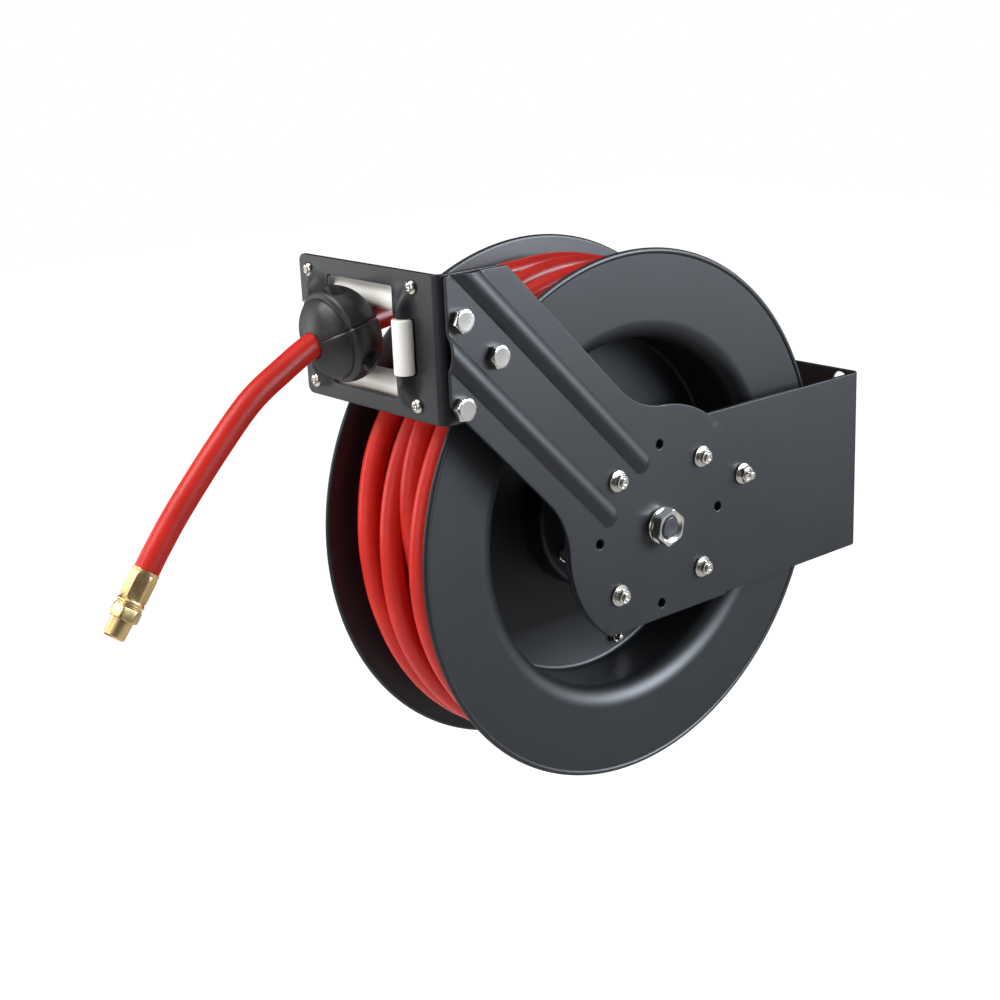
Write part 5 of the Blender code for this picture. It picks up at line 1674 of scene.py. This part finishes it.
@dataclass
class Hose:
    """The winding on the drum, the run to the guide, the hanging tail and its brass end."""

    radius: float = 0.0076
    layer: float = 0.1599
    step: float = 0.0158
    contact: tuple = (-0.1601, 0.1512)
    tail: tuple = ((-0.2268, 0.1316), (-0.2504, 0.1172), (-0.2762, 0.0930), (-0.3035, 0.0640),
                   (-0.3192, 0.0450), (-0.3278, 0.0335))
    lay: tuple = ((0.0, -0.0385), (0.5, -0.0335), (0.65, -0.0285), (0.72, -0.0262), (0.85, -0.0200),
                  (1.25, -0.0180), (1.5, -0.0150), (1.65, 0.0030), (1.75, 0.0050), (1.85, 0.0085),
                  (2.25, 0.0105), (2.5, 0.0118), (2.55, 0.0128), (2.658, 0.0300), (2.72, 0.0287),
                  (2.77, 0.0262), (2.85, 0.0250), (3.25, 0.0290), (3.5, 0.0335))
    under_turns: float = 5.0
    under_start: float = 0.0396
    under_pitch: float = 0.01584
    loose: tuple = (2.50, 2.62, 2.66, 2.775)
    loose_rise: float = 0.0190
    loose_shift: float = -0.0092
    core_inner: float = 0.1206
    core_outer: float = 0.1360
    core_half: float = 0.0478
    core_taper: float = 0.014

    def leave_angle(self) -> float:
        """Where a straight hose to the top roller leaves the outer layer."""
        x, z = self.contact
        return math.atan2(z, x) - math.acos(self.layer / math.hypot(x, z))

    def _helix(self, turns: Array, radius: Array, y: Array) -> Array:
        """Lays points round the axle: (R cos a, y, R sin a), a falling by a full turn for each one wound.

        Args:
            turns: How many turns each point lies from the outer layer's inner end.
            radius: Each point's distance from the axle.
            y: Each point's place along the axle.

        Returns:
            One row a point.
        """
        angle = self.leave_angle() - 2 * math.pi * (self.lay[-1][0] - turns)
        return np.stack([radius * np.cos(angle) + AXLE_X, y, radius * np.sin(angle)], axis=1)

    def winding(self) -> Array:
        """Lays the outer layer, which rises from the layer below and ends straight.

        Returns:
            Its centre line.
        """
        dense = spline(np.array(self.lay), 1200)
        turns = np.linspace(0, self.lay[-1][0], 560)
        reach = self.layer - self.step * (1 - smoothstep(turns, 0.0, 0.2))
        path = self._helix(turns, reach, np.interp(turns, dense[:, 0], dense[:, 1]))
        a = self.leave_angle()
        ahead = np.array([-math.sin(a), 0, math.cos(a)])
        return np.vstack([path, path[-1] + ahead * np.linspace(0.004, 2 * self.radius, 4)[:, None]])

    def dress(self, dresser: Dresser) -> None:
        """Builds the hose from the drum outwards.

        Args:
            dresser: Makes the pieces.
        """
        wound = self.winding()
        dresser.look("hose_wound", tube(wound, self.radius), HOSE, Body.DRUM)
        self._under_layer(dresser)
        self._run(dresser, wound[-1], wound[-1] - wound[-2])
        self._tail(dresser)

    def _under_layer(self, dresser: Dresser) -> None:
        """Builds the layer beneath over a plain core; one turn of it lies loose and proud.

        Args:
            dresser: Makes the piece.
        """
        turns = np.linspace(0, self.under_turns, 620)
        first, high, low, last = self.loose
        swell = smoothstep(turns, first, high) * (1 - smoothstep(turns, low, last))
        y = self.under_start - turns * self.under_pitch + self.loose_shift * swell
        path = self._helix(turns, self.layer - self.step + self.loose_rise * swell, y)
        half, flat = self.core_half, self.core_half - self.core_taper
        core = np.array([(self.core_inner, -flat), (self.core_inner, flat),
                         (self.core_outer, half), (self.core_outer, -half)])
        shape = tube(path, self.radius, 20).joined(about_axle(core, 96))
        dresser.look("hose_core", shape, HOSE, Body.DRUM)

    def _run(self, dresser: Dresser, start: Array, ahead: Array) -> None:
        """Builds the taut stretch from the drum through the rollers to the ball.

        Args:
            dresser: Makes the piece.
            start: Where the winding ends.
            ahead: The way that it points there.
        """
        ahead = ahead / np.linalg.norm(ahead)
        centre, back = at(*BALL_CENTRE), -along_ball()
        entry = centre + back * (BALL_HALF + 0.001)
        bend = entry + back * 0.010
        first = start + ahead * 2 * self.radius
        knots = [start - ahead * 0.0015, start, first]
        knots += [first + (bend - first) * share for share in (0.25, 0.5, 0.75, 0.92)]
        knots += [entry, centre + back * 0.004, centre + back * CLEAR / 2]
        path = spline(np.array(knots), 140)
        sunk = np.where((path - start) @ ahead < 0, 0.0001, 0.0)
        made = dresser.look("hose_run", tube(path, self.radius - sunk), HOSE, None)
        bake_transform(made)

    def _tail(self, dresser: Dresser) -> None:
        """Builds the free hose: out of the ball, down under its own weight, into the ferrule.

        Args:
            dresser: Makes the piece.
        """
        along, centre = along_ball(), at(*BALL_CENTRE)
        hanging = [at(x, BALL_CENTRE[1], z) for x, z in self.tail]
        knots = [centre + along * CLEAR / 2, centre + along * 0.010, centre + along * (BALL_HALF + 0.001)]
        path = spline(np.array(knots + hanging), 110)
        last = hanging[-1] - hanging[-2]
        ahead = last / np.linalg.norm(last)
        mouth = hanging[-1] + ahead * CLEAR
        path = np.vstack([path, mouth + ahead * np.array([[0.0012], [0.0030]])])
        piece = dresser.look("hose_tail", tube(path, self.radius), HOSE, Body.HOSE_END)
        brass = BrassEnd().dress(dresser, mouth, ahead)


@dataclass
class BrassEnd:
    """The crimped ferrule and the threaded fitting in its end."""

    ferrule: float = 0.0210
    collar: float = 0.0081
    crimp: float = 0.0073
    ring_radius: float = 0.0084
    hex_flats: float = 0.0160
    hex_length: float = 0.0068
    thread: float = 0.0067
    thread_length: float = 0.0115
    bore: float = 0.0035
    hex_turn: float = 0.30
    crimp_turn: float = 0.24

    def dress(self, dresser: Dresser, mouth: Array, ahead: Array) -> list:
        """Builds both pieces as rings along the hose.

        Args:
            dresser: Makes the pieces.
            mouth: Where the hose enters the ferrule.
            ahead: The way that it points there.

        Returns:
            The two objects.
        """
        turn = frame_towards(ahead, (0, 1, 0)) @ spin(self.hex_turn)
        n, f = self.ferrule, self.crimp
        rings = [(0.0030, 0.0077, 0), (0.0, 0.0078, 0), (-0.0001, self.collar, 0), (0.0012, self.collar, 0),
                 (0.0022, 0.0079, 0), (0.0034, f * 1.03, 1.10), (0.0050, f, 1.13), (n - 0.0046, f, 1.13),
                 (n - 0.0034, f * 1.02, 1.08), (n - 0.0026, 0.0077, 0), (n - 0.0020, 0.0080, 0),
                 (n - 0.0016, self.ring_radius, 0), (n - 0.0004, self.ring_radius, 0), (n, 0.0080, 0)]
        ferrule = loft(rings).moved(mouth, turn @ spin(self.crimp_turn))
        start = n + CLEAR
        hexed = start + 0.0022 + self.hex_length
        tip = hexed + self.thread_length
        g, r = self.hex_flats / 2, self.thread
        rings = [(start, 0.0077, 0), (start + 0.0005, 0.0077, 0), (start + 0.0008, 0.0081, 0),
                 (start + 0.0017, 0.0081, 0), (start + 0.0019, g * 0.98, 1.08), (start + 0.0024, g, 1.14),
                 (hexed - 0.0012, g, 1.14), (hexed - 0.0004, g, 1.08), (hexed, g * 0.96, 1.0),
                 (hexed, r + 0.0001, 0), (hexed + 0.0006, r, 0), (tip - 0.0012, r - 0.0002, 0),
                 (tip - 0.0003, r - 0.0008, 0), (tip, r - 0.0012, 0), (tip, self.bore + 0.0005, 0),
                 (tip - 0.0006, self.bore, 0), (start + 0.004, self.bore, 0)]
        fitting = loft(rings).moved(mouth, turn)
        return [dresser.look(node, shape, BRASS, Body.HOSE_END, sharp=22)
                for node, shape in (("hose_ferrule", ferrule), ("hose_fitting", fitting))]


@dataclass
class BallStop:
    """Two rubber halves clamped round the hose."""

    split: float = math.radians(70.0)
    screw_turn: float = math.radians(-5.0)
    radius: float = 0.0296
    fullness: float = 0.92
    bore: float = 0.0079
    groove_at: float = 0.0082
    groove_depth: float = 0.0012
    groove_width: float = 0.0011
    front_drop: float = 0.0014
    seam_gap: float = 0.0003
    seam_depth: float = 0.0012
    seam_width: float = 0.0009
    screw_offset: float = 0.0170
    screw_seat: float = 0.015
    recess: float = 0.0060

    def axes(self, extra: float = 0.0) -> Array:
        """Finds the ball's own directions.

        Args:
            extra: An angle by which the split is turned further.

        Returns:
            Columns: across the split, along the split, and along the hose.
        """
        along = along_ball()
        across = np.array([0.0, math.cos(self.split + extra), math.sin(self.split + extra)])
        across -= along * (across @ along)
        across /= np.linalg.norm(across)
        return np.stack([across, np.cross(along, across), along], axis=1)

    def profile(self) -> Array:
        """Outline of the ball: (R sin^p a, -H cos^p a), with a ring groove and a smaller front.

        Returns:
            One (radius, along) row a point.
        """
        lip = math.asin(((self.bore + 0.0018) / self.radius) ** (1 / self.fullness))
        angle = np.linspace(lip, math.pi - lip, 120)
        r = self.radius * np.sin(angle) ** self.fullness
        along = -BALL_HALF * np.sign(np.cos(angle)) * np.abs(np.cos(angle)) ** self.fullness
        front = smoothstep(along, self.groove_at - 0.0005, self.groove_at + 0.0005)
        groove = bell(along - self.groove_at, self.groove_width)
        r = r - self.front_drop * front - self.groove_depth * groove
        mouth = [(self.bore + 0.0004, along[-1] - 0.0002), (self.bore, along[-1] - 0.001)]
        tail = [(self.bore, along[0] + 0.001), (self.bore + 0.0004, along[0] + 0.0002)]
        return np.vstack([tail, np.stack([r, along], 1), mouth])

    def dress(self, dresser: Dresser) -> None:
        """Builds both halves and the two screws that clamp them.

        Args:
            dresser: Makes the pieces.
        """
        turn, screws, centre = self.axes(), self.axes(self.screw_turn), at(*BALL_CENTRE)
        for node, side in (("ball_upper", 1), ("ball_lower", -1)):
            shape = self._half(side).moved(centre, turn)
            made = dresser.look(node, shape, RUBBER, Body.HOSE_END, sharp=50)
            self._recesses(made, centre, screws, side)
            weight_normals(made)
        for k, way in enumerate((-1, 1)):
            place = centre + screws[:, 1] * self.screw_offset * way + screws[:, 0] * self.screw_seat
            Bolt(f"ball_screw_{k + 1}", place, screws[:, 0], 2 * self.screw_seat, 0.002,
                 End.pan(0.0038, 0.0024), End.hex_head(0.007, 0.003), Body.HOSE_END).dress(dresser)

    def _half(self, side: int) -> Shape:
        """Turns the outline through half a circle: (r cos a, r sin a), r falling towards the seam.

        Args:
            side: Which half, 1 or -1.

        Returns:
            The half, closed by a flat face at the seam.
        """
        profile, rows = self.profile(), 97
        swing = math.pi * (1 - np.cos(np.linspace(0, math.pi, rows))) / 2
        angles = (swing - side * math.pi / 2)[:, None]
        r, along = profile[:, 0][None], profile[:, 1][None]
        sunk = self.seam_depth * bell(r * np.cos(angles), self.seam_width)
        r = r - sunk * smoothstep(r, self.bore + 0.0012, self.bore + 0.0035)
        x, y = r * np.cos(angles), r * np.sin(angles)
        x = x + side * self.seam_gap * 0.5 * bell(x, 0.0010)
        points = np.stack([x, y, along + 0 * x], -1).reshape(-1, 3)
        return Shape(points, capped(rows, len(profile)), {"edge": bell(x, 0.0012).ravel()})

    def _recesses(self, piece: bpy.types.Object, centre: Array, turn: Array, side: int) -> None:
        """Cuts the two screw recesses into a half.

        Args:
            piece: The half.
            centre: The ball's centre.
            turn: The screws' own directions, as columns.
            side: Which half it is, 1 or -1.
        """
        outward = turn[:, 0] * side
        depth = 0.04
        work = bmesh.new()
        for way in (-1, 1):
            seat = centre + turn[:, 1] * self.screw_offset * way + outward * self.screw_seat
            matrix = np.eye(4)
            matrix[:3, :3] = frame_towards(outward)
            matrix[:3, 3] = seat + outward * depth / 2
            bmesh.ops.create_cone(work, cap_ends=True, segments=48, radius1=self.recess, radius2=self.recess,
                                  depth=depth, matrix=Matrix(matrix.tolist()))
        mesh = bpy.data.meshes.new("recess")
        work.to_mesh(mesh)
        work.free()
        cutter = bpy.data.objects.new("recess", mesh)
        bpy.context.scene.collection.objects.link(cutter)
        cut = piece.modifiers.new("recess", "BOOLEAN")
        cut.object = cutter
        cut.operation = "DIFFERENCE"
        bpy.context.view_layer.update()
        cut_piece = piece.evaluated_get(bpy.context.evaluated_depsgraph_get())
        piece_mesh = bpy.data.meshes.new_from_object(cut_piece)
        piece.modifiers.clear()
        piece.data = piece_mesh
        bpy.data.objects.remove(cutter, do_unlink=True)


# Studio


@dataclass(frozen=True)
class Lamp:
    """A square soft lamp out in a direction from the reel."""

    name: str
    direction: tuple
    power: float
    size: float = 1.3
    colour: tuple = (1.0, 1.0, 1.0)
    reach: Reach = Reach.BOTH

    def stand(self, aim: tuple, distance: float) -> None:
        """Sets the lamp up, facing the reel.

        Args:
            aim: The point that it faces.
            distance: How far from there it stands.
        """
        data = bpy.data.lights.new(self.name, "AREA")
        data.shape = "SQUARE"
        data.size = self.size
        data.energy = self.power
        data.color = self.colour
        made = bpy.data.objects.new(self.name, data)
        unit = np.array(self.direction) / np.linalg.norm(self.direction)
        basis = np.eye(4)
        basis[:3, :3] = frame_towards(unit)
        basis[:3, 3] = np.array(aim) + distance * unit
        made.matrix_world = Matrix(basis.tolist())
        made.visible_diffuse = self.reach is not Reach.SHEEN
        made.visible_glossy = self.reach is not Reach.FILL
        bpy.context.scene.collection.objects.link(made)


LAMPS = (
    Lamp("key", (0.72, -0.69, 0.35), 9.0),
    Lamp("key_sheen", (0.57, -0.79, 0.36), 128.0, colour=(0.80, 0.89, 1.0), reach=Reach.SHEEN),
    Lamp("card_sheen", (0.66, -0.72, -0.22), 2.0, colour=(0.92, 0.96, 1.0), reach=Reach.SHEEN),
    Lamp("overhead_left", (-0.65, 0.25, 0.75), 42.0),
    Lamp("front", (0.1, -1.0, 0.1), 12.0, reach=Reach.FILL),
    Lamp("overhead", (0.0, 0.0, 1.0), 10.0, 1.5),
    Lamp("rear_card", (-0.58, 0.74, 0.05), 14.0, 1.2),
    Lamp("rear_sheen", (-0.30, 0.95, 0.0), 4.0, reach=Reach.SHEEN),
    Lamp("wall_side", (1.0, -0.25, 0.1), 3.7),
    Lamp("left", (-1.0, -0.1, 0.15), 7.0),
    Lamp("left_fill", (-0.95, -0.05, -0.12), 15.0, reach=Reach.FILL),
)


@dataclass
class Studio:
    """Camera at the photograph's station, soft lamps, white ground."""

    camera_place: tuple = (-0.9636, -0.8250, 0.3488)
    right: tuple = (0.76177, -0.64653, -0.04128)
    up: tuple = (0.22097, 0.19941, 0.95467)
    back: tuple = (-0.60899, -0.73637, 0.29478)
    lens: float = 61.50
    floor_z: float = -1.25
    floor_half: float = 9.0
    aim: tuple = (-0.28, 0.0, 0.05)
    lamp_distance: float = 2.2

    def _camera(self) -> None:
        """Sets the camera up and makes it the scene's."""
        data = bpy.data.cameras.new("camera")
        data.lens = self.lens
        data.sensor_width = 36.0
        data.clip_start = 0.01
        made = bpy.data.objects.new("camera", data)
        basis = np.eye(4)
        basis[:3, 0], basis[:3, 1], basis[:3, 2] = self.right, self.up, self.back
        basis[:3, 3] = self.camera_place
        made.matrix_world = Matrix(basis.tolist())
        bpy.context.scene.collection.objects.link(made)
        bpy.context.scene.camera = made

    def _world(self) -> None:
        """Makes the world white for the camera and nearly dark for what lights the object."""
        made = bpy.data.worlds.new("world")
        bpy.context.scene.world = made
        made.use_nodes = True
        graph = Graph(made.node_tree)
        background = made.node_tree.nodes["Background"]
        seen = graph.node("ShaderNodeLightPath").outputs["Is Camera Ray"]
        tone = graph.mix(seen, (0.035, 0.036, 0.038, 1.0), (1.0, 1.0, 1.0, 1.0))
        graph.feed(tone, background.inputs["Color"])
        background.inputs["Strength"].default_value = 1.0

    def _floor(self) -> None:
        """Makes a pale ground far below that still takes the reel's shadow."""
        half, z = self.floor_half, self.floor_z
        mesh = bpy.data.meshes.new("floor")
        mesh.from_pydata([(-half, -half, z), (half, -half, z), (half, half, z), (-half, half, z)], [],
                         [(0, 1, 2, 3)])
        made = bpy.data.objects.new("floor", mesh)
        bpy.context.scene.collection.objects.link(made)
        material = bpy.data.materials.new("floor")
        material.use_nodes = True
        sockets = material.node_tree.nodes["Principled BSDF"].inputs
        sockets["Base Color"].default_value = (0.9, 0.9, 0.9, 1.0)
        sockets["Roughness"].default_value = 0.9
        sockets["Emission Color"].default_value = (1.0, 1.0, 1.0, 1.0)
        graph = Graph(material.node_tree)
        seen = graph.node("ShaderNodeLightPath").outputs["Is Camera Ray"]
        where = graph.node("ShaderNodeTexCoord").outputs["Object"]
        away = graph.result("ShaderNodeVectorMath", "Value", {0: where}, operation="LENGTH")
        glow = graph.stretch(away, 1.6, 4.2, 0.86, 1.0)
        graph.feed(graph.math("MULTIPLY", glow, seen), sockets["Emission Strength"])
        mesh.materials.append(material)

    def dress(self) -> None:
        """Sets up the camera, the surroundings and the lamps."""
        bpy.context.scene.view_settings.view_transform = "Standard"
        self._camera()
        self._world()
        self._floor()
        for lamp in LAMPS:
            lamp.stand(self.aim, self.lamp_distance)


def main() -> None:
    """Dresses the reel and sets the studio."""
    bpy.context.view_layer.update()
    dresser = Dresser()
    Studio().dress()
    for part in (BaseBracket(), GuideArm(), GuidePlate(), Fasteners(), DrumHalves(), DrumInside(), Axle(),
                 Rollers(), Hose(), BallStop()):
        LOG.info("dressing %s", type(part).__name__)
        part.dress(dresser)
    bpy.context.view_layer.update()


if __name__ == "__main__":
    main()
